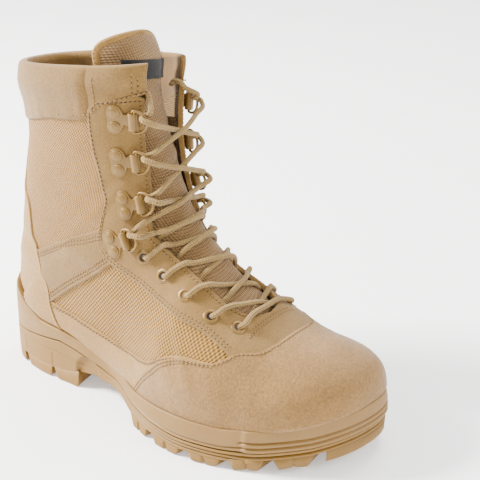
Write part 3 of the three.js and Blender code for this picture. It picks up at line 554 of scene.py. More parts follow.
@dataclass(frozen=True)
class Paint:
    """Satin paint on steel, thinner and darker where it has been handled."""

    name: str
    colour: tuple[float, float, float, float]

    def make(self) -> bpy.types.Material:
        """Builds the material."""
        s = Shader(self.name)
        worn = s.spread(s.noise(1.8, 4.0), 0.55, 0.72)
        cloud = s.spread(s.noise(6, 3.0), 0.3, 0.7, (0.93, 1.05))
        colour = s.blend(s.math("MULTIPLY", worn, 0.4), self.colour, tone(140, 118, 92))
        normal = s.bump(s.noise(0.6, 2.0), 0.03, 0.5)
        gloss = s.spread(worn, 0.0, 1.0, (0.42, 0.3))
        return s.finish(s.scale(colour, cloud), normal, Roughness=gloss, Metallic=0.25, IOR=1.5)


class Finish(Enum):
    """Every finish on the boot."""

    SUEDE = Suede("suede", tone(213, 180, 142), 1.5, 0.40, 0.066)
    TOE = Suede("toe_suede", tone(193, 162, 129), 1.6, 0.50, 0.086)
    # a smoother, greyer suede for facing and vamp; its darker tone is partly its own leather, partly painted
    # shade
    NUBUCK = Suede("smooth_suede", tone(180, 152, 118), 1.4, 0.28, 0.056)
    COLLAR = Suede("collar_suede", tone(176, 148, 115), 1.5, 0.40, 0.066)
    # a darker copy of the collar suede for the collar's inside: painted shade
    INSIDE = Suede("collar_inside_shade", tone(150, 123, 93), 1.5, 0.30, 0.050)
    QUARTER = Weave("quarter_cloth", tone(221, 184, 141), (1.45, 1.65), 0.6, 0.60)
    SHAFT = Weave("shaft_cloth", tone(218, 182, 144), (1.3, 1.45), 0.45, 0.42, 0.0, 0.4)
    TONGUE = Weave("tongue_cloth", tone(196, 168, 139), (1.2, 1.2), 0.45, 0.40, 38.0)
    LINING = Weave("lining_mesh", tone(176, 152, 122), (1.5, 1.5), 0.35, 0.30, 45.0)
    INSOLE = Weave("insole_felt", tone(176, 154, 126), (0.7, 0.7), 0.12, 0.12, 20.0)
    CORD = Weave("lace_braid", tone(214, 188, 152), (1.05, 1.05), 0.30, 0.36, 45.0)
    LABEL = Weave("black_label", tone(14, 13, 14), (0.45, 0.45), 0.10, 0.35)
    THREAD = Weave("light_thread", tone(206, 176, 140), (0.5, 0.5), 0.10, 0.2)
    # dark thread, also the material of the painted shade in the needle holes
    DARK_THREAD_AND_SHADE = Weave("dark_thread_and_painted_shade", tone(104, 78, 50), (0.5, 0.5), 0.10, 0.2)
    CUP = Rubber("cup_rubber", tone(190, 160, 125), 0.56, 0.25)
    TREAD = Rubber("tread_rubber", tone(187, 156, 119), 0.6, 0.35)
    PAINT = Paint("painted_steel", tone(178, 151, 116))
    # dark paint for the discs in the eyelets' bores: painted shade inside the holes
    EYELET_SHADE = Paint("eyelet_shade_paint", tone(60, 46, 32))


MATERIALS: dict[Finish, bpy.types.Material] = {}


def material(finish: Finish) -> bpy.types.Material:
    """The material of a finish, made once."""
    if finish not in MATERIALS:
        MATERIALS[finish] = finish.value.make()
    return MATERIALS[finish]


# ---------------------------------------------------------------- making meshes
def publish(mesh: Mesh, finish: Finish, slot: Slot, node: str = "") -> bpy.types.Object:
    """Shows a mesh as a piece of the boot, under the mesh's own name.

    Args:
        mesh: The mesh, in frame metres.
        finish: What it is covered with.
        slot: The record's slot for its colour; not used.
        node: The CAD node that it stands for, if any.

    Returns:
        The object.
    """
    mesh.materials.clear()
    mesh.materials.append(material(finish))
    mesh.shade_smooth()
    obj = bpy.data.objects.new(mesh.name, mesh)
    bpy.context.scene.collection.objects.link(obj)
    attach(obj, "root")
    if node:
        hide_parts(node)
    LOG.info("%s: %d faces", obj.name, len(mesh.polygons))
    return obj


def as_mesh(bm: Bm, name: str) -> Mesh:
    """A finished mesh from one that was being worked on."""
    mesh = bpy.data.meshes.new(name)
    bm.to_mesh(mesh)
    bm.free()
    return mesh


def merge(bm: Bm, part: Bm) -> None:
    """Adds a part to a mesh that is being worked on."""
    mesh = as_mesh(part, "part")
    bm.from_mesh(mesh)
    bpy.data.meshes.remove(mesh)


def corners(mesh: Mesh, kind: str = "co") -> Array:
    """Places of a mesh's corners, or another measure of three numbers at each."""
    flat = np.empty(len(mesh.vertices) * 3)
    mesh.vertices.foreach_get(kind, flat)
    return flat.reshape(-1, 3)


def weld(mesh: Mesh) -> None:
    """Joins corners that meet and turns every face outward."""
    bm = bmesh.new()
    bm.from_mesh(mesh)
    bmesh.ops.remove_doubles(bm, verts=bm.verts, dist=WELD_GAP * MM)
    bmesh.ops.recalc_face_normals(bm, faces=bm.faces)
    bm.to_mesh(mesh)
    bm.free()


def grid_mesh(name: str, spots: Array, threads: Array, outward: Array | None = None) -> Mesh:
    """A grid of faces moved onto given points.

    Args:
        name: The mesh's name.
        spots: Points in last millimetres, rows by columns.
        threads: The cloth's own sizes at each point, in millimetres.
        outward: The way out at each point, or None for a closed form.

    Returns:
        The mesh, in frame metres.
    """
    rows, columns = spots.shape[0] - 1, spots.shape[1] - 1
    bm = bmesh.new()
    bm.loops.layers.uv.new("weave")
    bmesh.ops.create_grid(bm, x_segments=rows, y_segments=columns, size=0.5, calc_uvs=True)
    mesh = as_mesh(bm, name)
    flat = corners(mesh)
    i = np.rint((flat[:, 0] + 0.5) * rows).astype(int)
    j = np.rint((flat[:, 1] + 0.5) * columns).astype(int)
    mesh.vertices.foreach_set("co", to_frame(spots[i, j]).ravel())
    at = np.empty(len(mesh.loops), int)
    mesh.loops.foreach_get("vertex_index", at)
    mesh.uv_layers["weave"].data.foreach_set("uv", threads[i[at], j[at]].ravel())
    mesh.update()
    if outward is None:
        weld(mesh)
        return mesh
    if (corners(mesh, "normal") * outward[i, j]).sum() < 0:
        mesh.flip_normals()
    return mesh


def scatter(name: str, base: Mesh, places: Array) -> Mesh:
    """Copies of one small mesh joined into one.

    Args:
        name: The mesh's name.
        base: The small mesh, in millimetres.
        places: Matrices of 4 by 4 in last millimetres, one per copy.

    Returns:
        The mesh, in frame metres.
    """
    own = corners(base)
    count = len(own)
    spots = np.einsum("nij,vj->nvi", places, np.c_[own, np.ones(count)])[..., :3].reshape(-1, 3)
    faces = [list(p.vertices) for p in base.polygons]
    sizes = np.array([len(f) for f in faces] * len(places))
    order = np.concatenate([np.concatenate(faces) + k * count for k in range(len(places))])
    mesh = bpy.data.meshes.new(name)
    mesh.vertices.add(len(spots))
    mesh.vertices.foreach_set("co", to_frame(spots).ravel())
    mesh.loops.add(len(order))
    mesh.loops.foreach_set("vertex_index", order.astype(np.int32))
    mesh.polygons.add(len(sizes))
    mesh.polygons.foreach_set("loop_start", np.concatenate([[0], np.cumsum(sizes)[:-1]]).astype(np.int32))
    mesh.update(calc_edges=True)
    mesh.validate()
    mesh.uv_layers.new(name="weave").data.foreach_set("uv", own[order % count, :2].ravel())
    return mesh


def frames(spots: Array, along: Array, out: Array) -> Array:
    """Matrices that stand at given points with x along a line and z outward."""
    z = unit(out)
    x = unit(along - (along * z).sum(-1, keepdims=True) * z)
    y = np.cross(z, x)
    made = np.zeros((len(spots), 4, 4))
    made[:, :3, 0], made[:, :3, 1], made[:, :3, 2], made[:, :3, 3] = x, y, z, spots
    made[:, 3, 3] = 1
    return made


def tube(name: str, path: Array, across: Array, out: Array, section: Array, closed: bool) -> Mesh:
    """A section carried along a path.

    Args:
        name: The mesh's name.
        path: Points in last millimetres.
        across: Sideways direction at each point.
        out: Outward direction at each point.
        section: Closed outline as (across, out) pairs in millimetres, or one such outline per point.
        closed: Whether the path runs back into its start.

    Returns:
        The mesh.
    """
    if section.ndim == 2:
        section = np.repeat(section[None], len(path), axis=0)
    ring = np.concatenate([section, section[:, :1]], axis=1)
    spots = path[:, None] + across[:, None] * ring[..., :1] + out[:, None] * ring[..., 1:]
    uv = np.stack(np.meshgrid(walk(path), walk(ring[0]), indexing="ij"), axis=-1)
    if closed:
        spots = np.concatenate([spots, spots[:1]])
        uv = np.concatenate([uv, uv[-1:] + [1.0, 0.0]])
    else:
        ends = [spots[:1].mean(axis=1, keepdims=True), spots[-1:].mean(axis=1, keepdims=True)]
        n = spots.shape[1]
        spots = np.concatenate([np.repeat(ends[0], n, 1), spots, np.repeat(ends[1], n, 1)])
        uv = np.concatenate([uv[:1], uv, uv[-1:]])
    return grid_mesh(name, spots, uv)


def round_section(width: float, height: float, sides: int) -> Array:
    """An oval outline."""
    turn = np.arange(sides) / sides * 2 * math.pi
    return np.c_[np.cos(turn) * width / 2, np.sin(turn) * height / 2]


# ---------------------------------------------------------------- panels on the last
class Edge(Enum):
    """How a panel ends."""

    CUT = "cut"  # its thickness shows
    FOLDED = "folded"  # turned under, with a soft ridge
    TUCKED = "tucked"  # runs under its neighbour
    WRAPPED = "wrapped"  # goes round the wall's edge to the inside


@dataclass(frozen=True)
class Crease:
    """A soft trough or ridge in the upper, as worn leather and cloth have.

    start, end: its ends as (x, z) in last millimetres; depth: millimetres, negative for a ridge;
    width: millimetres; side: -1 lateral, 1 medial, 0 across both.
    """

    start: tuple[float, float]
    end: tuple[float, float]
    depth: float
    width: float
    side: int

    def push(self, spots: Array) -> Array:
        """How far the crease moves points in, in millimetres."""
        a, b = np.array(self.start), np.array(self.end)
        p = spots[..., [0, 2]]
        line = b - a
        length = np.linalg.norm(line)
        t = ((p - a) @ line) / length**2
        bow = 0.06 * length * np.sin(np.clip(t, 0, 1) * math.pi)
        off = ((p - a) @ np.array([-line[1], line[0]])) / length - bow
        reach = np.maximum(np.abs(t - 0.5) - 0.5, 0) * length
        fade = np.clip(1 - np.abs(2 * np.clip(t, 0, 1) - 1) ** 3, 0, 1)
        here = np.exp(-((off / self.width) ** 2)) * np.exp(-((reach / self.width) ** 2)) * fade
        if self.side:
            here = here * smooth(0.5 + self.side * spots[..., 1] / 12)
        return self.depth * here


# x and z of the start, x and z of the end, depth, width, side
CREASES = tuple(Crease(row[0:2], row[2:4], *row[4:]) for row in (
    # across the vamp, where the foot bends
    (176, 92, 205, 52, 0.9, 5.0, -1), (190, 88, 222, 50, 0.7, 4.5, -1), (183, 92, 214, 50, -0.6, 4.0, -1),
    (170, 78, 196, 44, -0.5, 5.0, -1), (178, 92, 204, 52, 0.9, 5.0, 1), (194, 86, 218, 52, 0.7, 4.5, 1),
    # round the ankle, under and over the band
    (48, 134, 128, 120, 0.6, 8.0, -1), (52, 148, 120, 140, -0.5, 8.0, -1),
    (60, 116, 140, 96, -0.7, 8.0, -1), (80, 106, 150, 84, 0.8, 6.0, -1), (48, 132, 128, 122, 0.9, 6.0, 1),
    (80, 104, 150, 86, 0.8, 6.0, 1),
    # the shaft's slack
    (34, 190, 96, 176, 0.7, 8.0, -1), (38, 208, 88, 214, -0.6, 8.0, -1), (60, 160, 112, 150, 0.6, 7.0, -1),
    (34, 188, 96, 178, 0.7, 8.0, 1),
    # heel
    (14, 108, 52, 104, 0.6, 6.0, 0), (10, 88, 40, 96, -0.5, 6.0, 0),
    # side strip
    (120, 58, 158, 40, 0.5, 5.0, -1), (96, 74, 130, 52, -0.4, 6.0, -1),
    # toe
    (248, 78, 262, 48, 0.35, 7.0, -1), (268, 74, 292, 60, -0.3, 8.0, 0),
))


def rim_line(x: Array) -> Array:
    """Height of the cup's rim, which dips at the very back of the heel."""
    return LAST.height("rim", x) - 4.4 * smooth((25 - np.asarray(x)) / 19)


def relief(spots: Array) -> Array:
    """How far the creases and the panels' slight slackness lift the upper's outside, in millimetres."""
    lift = np.zeros(spots.shape[:-1])
    for crease in CREASES:
        lift = lift - crease.push(spots)
    x, y, z = spots[..., 0], spots[..., 1], spots[..., 2]
    slack = np.sin(x * 0.071 + z * 0.043 + y * 0.02) * np.sin(z * 0.083 - x * 0.031 + 1.3)
    over_rim = z - rim_line(x)
    tuck = 3.0 * smooth((1.8 - over_rim) / 4.0) * smooth((100 - x) / 25) * smooth((x + 2) / 34)
    box = 4.6 * smooth((x - 238) / 44) * smooth((over_rim + 6) / 8) * (1 - smooth((z - 52) / 20))
    return lift + 0.28 * slack - tuck + box


COARSE = 60  # steps at which a panel is first measured
LINE_POINTS = 500
SUEDE_THICKNESS = 1.4
EDGE_DROP = -1.3  # where a panel's edge meets what is below
EDGE_STEPS = (0.0, 0.0, 0.12, 0.45, 1.0)
EDGE_SHARES = (-1.0, 0.35, 0.72, 0.94, 1.0)
FOLD_STEPS = (0.0, 0.0, 0.2, 0.7, 1.4, 2.2, 3.2)
FOLD_SHARES = (-1.0, 0.3, 0.9, 1.25, 1.3, 1.1, 1.0)


def ladder(length: float, first: Edge, last: Edge, cell: float) -> tuple[Array, Array, int, int]:
    """Steps across a panel, close together at edges that show.

    Args:
        length: The way across, in millimetres.
        first: How the panel starts.
        last: How it ends.
        cell: The usual step.

    Returns:
        Distances, shares of the lift (-1 where it drops to what is below), and each edge's count of steps.
    """
    sets = {
        Edge.CUT: (EDGE_STEPS, EDGE_SHARES),
        Edge.FOLDED: (FOLD_STEPS, FOLD_SHARES),
        Edge.TUCKED: ((0.0,), (1.0,)),
        Edge.WRAPPED: ((0.0, 0.0, 0.15, 0.6, 1.4), (-2.0, 0.2, 0.65, 0.92, 1.0)),
    }
    head, head_share = sets[first]
    tail, tail_share = sets[last]
    count = max(2, round((length - head[-1] - tail[-1]) / cell))
    inner = np.linspace(head[-1], length - tail[-1], count + 1)
    steps = np.concatenate([head[:-1], inner, length - np.array(tail[:-1])[::-1]])
    shares = np.concatenate([head_share[:-1], np.ones(count + 1), tail_share[:-1][::-1]])
    return steps, shares, len(head) - 1, len(tail) - 1


class Patch:
    """A four-sided panel on the last.

    chart turns shares (s, t) into a station, an angle and the panel's lift off the last.
    """

    def __init__(self, chart: Chart, edges: tuple[Edge, ...], cell: float) -> None:
        self.chart = chart
        self.edges = edges
        self.cell = cell
        self.coarse = np.linspace(0, 1, COARSE + 1)
        s, t = np.meshgrid(self.coarse, self.coarse, indexing="ij")
        v, a, _ = chart(s, t)
        spots = LAST.skin(v, a)
        self.walk_s = walk(spots)
        self.walk_t = walk(spots.swapaxes(0, 1))

    def _line(self, table: Array, share: float) -> Array:
        """A walked-distance line at a share between two coarse ones; table runs along its first axis."""
        k = share * COARSE
        i = int(min(COARSE - 1, math.floor(k)))
        return mix(table[:, i], table[:, i + 1], k - i)

    @staticmethod
    def _fit(steps: Array, length: float, total: float, head: int, tail: int) -> Array:
        """A ladder's steps on a line of another length, with its edges left as they are."""
        scaled = steps.copy()
        low, high = steps[head], steps[len(steps) - 1 - tail]
        tail_room = length - high
        inner = slice(head, len(steps) - tail)
        scaled[inner] = mix(low, total - tail_room, (steps[inner] - low) / max(high - low, 1e-6))
        if tail:
            scaled[-tail:] = total - (length - steps[-tail:])
        return scaled

    def mesh(self, name: str) -> Mesh:
        """The panel's mesh, its edges as self.edges say."""
        s0, s1, t0, t1 = self.edges
        mean_s, mean_t = self.walk_s[-1].mean(), self.walk_t[-1].mean()
        down, share_s, head_s, tail_s = ladder(mean_s, s0, s1, self.cell)
        over, share_t, head_t, tail_t = ladder(mean_t, t0, t1, self.cell)
        m, n = len(down), len(over)
        t = np.empty((m, n))
        for i in range(m):
            line = self._line(self.walk_t, down[i] / mean_s)
            t[i] = np.interp(self._fit(over, mean_t, line[-1], head_t, tail_t), line, self.coarse)
        s = np.empty((m, n))
        for j in range(n):
            line = self._line(self.walk_s, float(np.clip(t[:, j].mean(), 0, 1)))
            s[:, j] = np.interp(self._fit(down, mean_s, line[-1], head_s, tail_s), line, self.coarse)
        v, a, lift = self.chart(s, t)
        share = np.minimum(np.abs(share_s)[:, None] * np.ones(n), 1.4) * np.abs(share_t)[None]
        low = np.minimum(share_s[:, None], share_t[None])
        base, out = LAST.surface(v, a)
        shown = lift - SUEDE_THICKNESS + SUEDE_THICKNESS * share
        height = np.where(low <= -1.5, -LAST.wall, np.where(low < 0, EDGE_DROP, shown))
        spots = base + out * (relief(base) + height)[..., None]
        threads = np.stack(np.broadcast_arrays(down[:, None], over[None]), axis=-1)
        laid = self.threads(s, t, base)
        return grid_mesh(name, spots, threads if laid is None else laid, out)

    def threads(self, _s: Array, _t: Array, _base: Array) -> Array | None:
        """The cloth's own way of lying; None for a panel whose threads run along its sides."""
        return None

    def row(self, edge: int, inset: float, start: float, end: float) -> Line3:
        """A line on the panel at an even distance from one of its edges.

        Args:
            edge: 0 or 1 for the start or end of s, 2 or 3 for the start or end of t.
            inset: Millimetres from that edge.
            start: Share of the edge where the line starts.
            end: Share where it ends.

        Returns:
            Points, directions along and normals.
        """
        share = np.linspace(start, end, LINE_POINTS)
        far = edge % 2 == 1
        table = self.walk_s if edge < 2 else self.walk_t
        found = np.empty(LINE_POINTS)
        for k, part in enumerate(share):
            line = self._line(table, part)
            found[k] = np.interp(line[-1] - inset if far else inset, line, self.coarse)
        s, t = (found, share) if edge < 2 else (share, found)
        v, a, lift = self.chart(s, t)
        base, out = LAST.surface(v, a)
        spots = base + out * (relief(base) + lift)[..., None]
        return spots, heading(spots), out


class SidePanel(Patch):
    """Woven cloth laid with its threads upright, by x and z."""

    def threads(self, _s: Array, _t: Array, base: Array) -> Array:
        """Threads run along the sole and up the shaft."""
        return base[..., [0, 2]]


class ShaftPanel(Patch):
    """Woven cloth laid round the leg from the back seam."""

    def threads(self, s: Array, t: Array, base: Array) -> Array:
        """Threads run round the leg and up it."""
        round_leg = np.empty(s.shape)
        for j, share in enumerate(np.clip(t.mean(axis=0), 0, 1)):
            line = self._line(self.walk_s, share)
            round_leg[:, j] = np.interp(s[:, j], self.coarse, line) - line[-1]
        return np.stack([round_leg, base[..., 2]], axis=-1)


STITCH = (1.25, 0.52, 0.42)  # half sizes: along, across, out
NEEDLE_HOLE_SHADE = (0.62, 1.15, 0.5, 1.0)  # sizes of the painted shade in a needle hole, against a stitch's


class Stitching:
    """Rows of stitches gathered into one mesh for each thread."""

    def __init__(self) -> None:
        self.places: dict[str, list[Array]] = {}

    def sew(self, thread: str, line: Line3, pitch: float, lift: float = 0.12, sway: float = 0.0) -> None:
        """Adds a row.

        Args:
            thread: Which mesh it goes into.
            line: Points, directions and normals, close together.
            pitch: Millimetres from stitch to stitch.
            lift: How far the thread lies above the line.
            sway: How unsteady the row is, in millimetres.
        """
        walked = walk(line[0])
        goal = np.arange(pitch / 2, walked[-1], pitch)
        if not len(goal):
            return
        at, ahead, up = read_at(goal, walked, *line)
        across = unit(np.cross(up, ahead))
        waver = sway * (np.sin(goal * 0.11) + 0.5 * np.sin(goal * 0.37 + 1))
        made = frames(at + up * lift + across * waver[:, None], ahead + across * 0.12, up)
        self.places.setdefault(thread, []).append(made)
        # a dark mark sunk between stitches: painted shade in each needle hole
        if "dark" not in thread:
            holes = made[:-1].copy()
            holes[:, :3, 3] = (made[:-1, :3, 3] + made[1:, :3, 3]) / 2 - up[:-1] * (lift + 0.02)
            self.places.setdefault("dark_needle_hole_shade", []).append(holes @ np.diag(NEEDLE_HOLE_SHADE))

    def publish(self) -> None:
        """Shows every thread's stitches."""
        bm = bmesh.new()
        lying = Matrix.Rotation(QUARTER, 4, "Y")
        bmesh.ops.create_uvsphere(bm, u_segments=6, v_segments=4, radius=1.0, matrix=lying)
        bmesh.ops.scale(bm, vec=STITCH, verts=bm.verts)
        base = as_mesh(bm, "stitch")
        for thread, places in self.places.items():
            finish = Finish.DARK_THREAD_AND_SHADE if "dark" in thread else Finish.THREAD
            publish(scatter(thread, base, np.concatenate(places)), finish, Slot.SUEDE)
        bpy.data.meshes.remove(base)


# ---------------------------------------------------------------- the upper
ALL_TUCKED = (Edge.TUCKED, Edge.TUCKED, Edge.TUCKED, Edge.TUCKED)


@dataclass
class Upper:
    """The upper: cloth panels with suede over them, a padded collar and a lining."""

    cloth_lift: float = -1.0
    strip_lift: float = 0.05
    band_lift: float = 0.1
    heel_lift: float = 0.6
    facing_lift: float = 0.6
    toe_lift: float = 0.65
    sewing: Stitching = field(default_factory=Stitching)
    facing_edge: Line = Line((
        (1.0, 44), (1.99, 43), (2.99, 51), (4, 59.9), (4.7, 65), (5.6, 71.7), (6.25, 75.1), (6.8, 75.8),
        (7.6, 74), (8.5, 67.5), (9.6, 61.4), (11.3, 61.3), (14.2, 67.8), (15.8, 71.6), (17, 72),
    ))
    strip_top: Line = Line((
        (1.0, 54), (1.72, 60), (2.3, 65.4), (2.75, 73.2), (3.2, 85), (3.9, 99.4), (4.6, 111), (5.3, 117.8),
        (6.2, 122), (7.9, 121.5),
    ))
    band_low: Line = Line((
        (6.05, 68), (6.23, 75.5), (6.47, 88.5), (6.72, 98), (7, 108.6), (7.27, 121.5), (7.5, 128),
    ))
    band_high: Line = Line((
        (7.6, 62), (8.24, 70.3), (8.91, 78.4), (10.07, 88.6), (10.67, 97), (11.19, 109.7), (11.4, 117),
    ))
    heel_edge: Line = Line((
        (6.0, 164), (6.4, 146), (6.7, 135), (7.3, 123), (8.2, 112), (9.3, 108), (10.4, 107.5), (11.4, 109.6),
        (12, 114.2), (12.8, 119), (13.7, 127), (14.6, 149), (15.4, 155), (16.9, 158),
    ))
    # these run round the boot instead: degrees from the ridge, station
    toe_rear: Rows = (
        (0, 0.03), (6, 0.04), (21, 0.15), (33, 0.45), (41, 0.88), (51, 1.13), (58, 1.4), (67, 2.25),
        (79, 2.88), (88, 3.14), (104, 3.38), (120, 3.52), (139, 3.62), (180, 3.7),
    )
    collar_seam: Rows = (
        (20, 16.5), (60, 16.3), (70, 15.9), (85, 16.08), (99, 16.38), (130, 16.46), (180, 16.6),
    )
    cloth_join: Rows = (
        (60, 6.8), (70, 7.2), (78, 7.6), (88, 8.2), (97, 8.7), (110, 9.2), (120, 9.5), (180, 9.6),
    )

    def join(self, s: Array) -> Array:
        """Station where the side's cloth meets the leg's under the ankle band, from facing to back seam."""
        return np.interp(mix(66.0, 180.0, s), *np.array(self.cloth_join).T)

    def under_heel(self, v: Array, a: Array) -> Array:
        """1 where a panel lies under the heel strip, 0 where it shows."""
        return smooth((a - self.heel_edge.angle(v)) / 0.09 + 0.1) * smooth((v - 5.7) / 0.4)

    def toe_line(self, a: Array) -> Array:
        """Station of the toe cap's rear edge at an angle in radians."""
        return spline(*np.array(self.toe_rear).T, np.abs(np.degrees(a)))

    def seam(self, a: Array) -> Array:
        """Station of the collar's lower seam at an angle in radians."""
        return np.interp(np.abs(np.degrees(a)), *np.array(self.collar_seam).T)

    # charts
    def quarter(self, side: int) -> SidePanel:
        """Cloth on the side of the foot."""

        def chart(s: Array, t: Array) -> Place:
            v = mix(0.9, self.join(s) + 0.1, t)
            return v, side * mix(self.facing_edge.angle(v) - 0.14, math.pi, s), 0 * s + self.cloth_lift

        return SidePanel(chart, ALL_TUCKED, 2.2)

    def shaft(self, side: int) -> ShaftPanel:
        """Cloth round the leg."""

        def chart(s: Array, t: Array) -> Place:
            v = mix(self.join(s) - 0.1, 17.2, t)
            puff = 0.5 * np.sin(np.clip(t, 0, 1) * math.pi)
            return v, side * mix(self.facing_edge.angle(v) - 0.14, math.pi, s), self.cloth_lift + puff

        return ShaftPanel(chart, ALL_TUCKED, 2.2)

    def toe(self) -> Patch:
        """Suede over the toe and along the front of the sole."""

        def chart(s: Array, t: Array) -> Place:
            a = mix(-3.1, 3.1, t)
            v = mix(-0.985, self.toe_line(a), s)
            return v, a, 0 * s + self.toe_lift

        return Patch(chart, (Edge.TUCKED, Edge.CUT, Edge.TUCKED, Edge.TUCKED), 1.9)

    def strip(self, side: int) -> Patch:
        """Suede along the sole between toe and heel."""

        def chart(s: Array, t: Array) -> Place:
            v, a = self.strip_top.at(t)
            v, a = mix(v, mix(2.0, 9.6, t), s), mix(a, 3.1, s)
            return v, side * a, self.strip_lift - 0.9 * self.under_heel(v, a)

        return Patch(chart, (Edge.CUT, Edge.TUCKED, Edge.TUCKED, Edge.TUCKED), 1.9)

    def band(self, side: int) -> Patch:
        """Suede band round the ankle."""

        def chart(s: Array, t: Array) -> Place:
            (v0, a0), (v1, a1) = self.band_low.at(t), self.band_high.at(t)
            v, a = mix(v0, v1, s), mix(a0, a1, s)
            under = self.under_heel(v, a)
            puff = 0.7 * np.sin(np.clip(s, 0, 1) * math.pi) * (1 - under)
            return v, side * a, self.band_lift + puff - 0.9 * under

        return Patch(chart, (Edge.FOLDED, Edge.FOLDED, Edge.TUCKED, Edge.TUCKED), 1.8)

    def heel(self, side: int) -> Patch:
        """Suede over the heel and up the back seam."""

        def chart(s: Array, t: Array) -> Place:
            v = mix(6.05, 16.9, t)
            return v, side * mix(self.heel_edge.angle(v), math.pi, s), 0 * s + self.heel_lift

        return Patch(chart, (Edge.FOLDED, Edge.TUCKED, Edge.TUCKED, Edge.TUCKED), 1.9)

    def facing(self, side: int) -> Patch:
        """The eyelets' strip beside the throat."""

        def chart(s: Array, t: Array) -> Place:
            top = 16.35 + 0.6 * s - 0.55 * smooth((s - 0.82) / 0.18) - 0.25 * smooth((0.14 - s) / 0.14)
            v = mix(1.1, top, t)
            a = mix(LAST.throat_angle(v, side), self.facing_edge.angle(v), s)
            return v, side * a, 0 * s + self.facing_lift

        return Patch(chart, (Edge.WRAPPED, Edge.CUT, Edge.TUCKED, Edge.CUT), 1.7)

    def vamp(self) -> Patch:
        """The facing's front, across the foot."""

        def chart(s: Array, t: Array) -> Place:
            a = mix(-0.8, 0.8, t)
            lift = mix(0.1, self.facing_lift, smooth(s * 1.1))
            return mix(-0.4, 1.1 + 0.0 * a, s), a, lift

        return Patch(chart, ALL_TUCKED, 1.8)

    def lining(self, side: int) -> Patch:
        """Mesh lining on the inside."""

        def chart(s: Array, t: Array) -> Place:
            v = mix(1.0, 17.0, t)
            return v, side * mix(LAST.throat_angle(v, side, 1.0), math.pi, s), 0 * s - LAST.wall

        return Patch(chart, ALL_TUCKED, 3.2)

    def collar(self, name: str, side: int, span: tuple[Array, float], thick: tuple[float, float], puff: float,
               pad: bool) -> Array:
        """A length of the collar: up the outside, over the top and down the inside.

        Args:
            name: The piece's name.
            side: -1 lateral, 1 medial.
            span: Angles in degrees where it starts (per station if an array) and ends.
            thick: Thickness at both ends, in millimetres.
            puff: How far the padding swells it.
            pad: Whether it is stuffed; not used.

        Returns:
            Its points, as rows up and over by columns round.
        """
        count = max(8, round((span[1] - span[0]) * 0.75 / 1.8))
        a = np.radians(np.linspace(*span, count + 1))
        share = np.linspace(0, 1, count + 1)
        thickness = mix(*thick, smooth(share))
        top, below = (LAST.skin(v + 0 * a, side * a) for v in (19.0, 18.5))
        rise = np.linalg.norm(top - below, axis=-1) * 2
        last_v = 19.0 - 0.45 * thickness / rise
        low = self.seam(a)
        ends = np.minimum(share, 1 - share if span[1] < 179 else 1.0) * (span[1] - span[0]) * 0.75
        edge = smooth(ends / 4.5)
        rows = []
        for k in (0.0, 0.0, 0.02, 0.06, 0.14, 0.26, 0.4, 0.55, 0.7, 0.85, 1.0):
            v = mix(low, last_v, k)
            swell = puff * edge * np.sin(math.pi * min(1.0, 0.06 + k * 0.8)) ** 0.7
            pucker = 0.16 * puff * np.sin(a * 34) * (1 - k) ** 2
            lift = (-1.3 if not rows else 0.25 * min(1, k * 25)) + (swell + pucker) * (k > 0)
            spots, out = LAST.surface(v, side * a)
            rows.append(spots + out * (relief(spots) * (1 - k) + lift)[..., None])
        spots, out = LAST.surface(last_v, side * a)
        up = unit(LAST.skin(last_v + 0.1, side * a) - spots)
        swell_out = puff * edge * math.sin(math.pi * 0.86) ** 0.7 + 0.25
        centre = spots + out * ((swell_out - thickness) / 2)[..., None]
        half = (thickness + swell_out) / 2
        for turn in np.linspace(0, math.pi, 10)[1:]:
            bulge = math.sin(turn) * (1 + 0.05 * math.sin(turn))
            rows.append(centre + out * (half * math.cos(turn))[..., None] + up * (half * bulge)[..., None])
        for k in (0.1, 0.25, 0.45, 0.65, 0.85, 0.96, 1.0, 1.0):
            v = mix(last_v, low - 0.9, k)
            swell = puff * 1.1 * edge * math.sin(math.pi * min(1.0, k * 0.94)) ** 0.7
            inner = mix(thickness, LAST.wall + 0.1, smooth((k - 0.7) / 0.3))
            spots, out = LAST.surface(v, side * a)
            rows.append(spots - out * (inner + swell)[..., None])
        grid = np.stack(rows)
        outward = np.stack([unit(row - centre) for row in grid])
        walked = walk(grid[:, 0])
        # the front end is closed, folded in on itself
        first, step = grid[:, 0], unit(grid[:, 0] - grid[:, 1])
        folds = ((0.5, 0.7), (0.3, 0.65), (0.06, 0.3))
        caps = [mix(first, first[::-1], fold) + step * ahead for fold, ahead in folds]
        closed = np.concatenate([np.stack(caps, 1), grid], axis=1)
        outward = np.concatenate([np.repeat(outward[:, :1], 3, 1), outward], axis=1)
        share = np.concatenate([[0.0] * 3, share])
        threads = np.stack(np.broadcast_arrays((share * 60)[None], walked[:, None]), axis=-1)
        piece = publish(grid_mesh(name, closed, threads, outward), Finish.COLLAR, Slot.SUEDE, "upper")
        # faces past the collar's top roll take the darker suede: painted shade inside the opening
        piece.data.materials.append(material(Finish.INSIDE))
        laid = piece.data.uv_layers["weave"].data
        for face in piece.data.polygons:
            face.material_index = int(min(laid[k].uv[1] for k in face.loop_indices) > walked[19] - 0.01)
        return grid

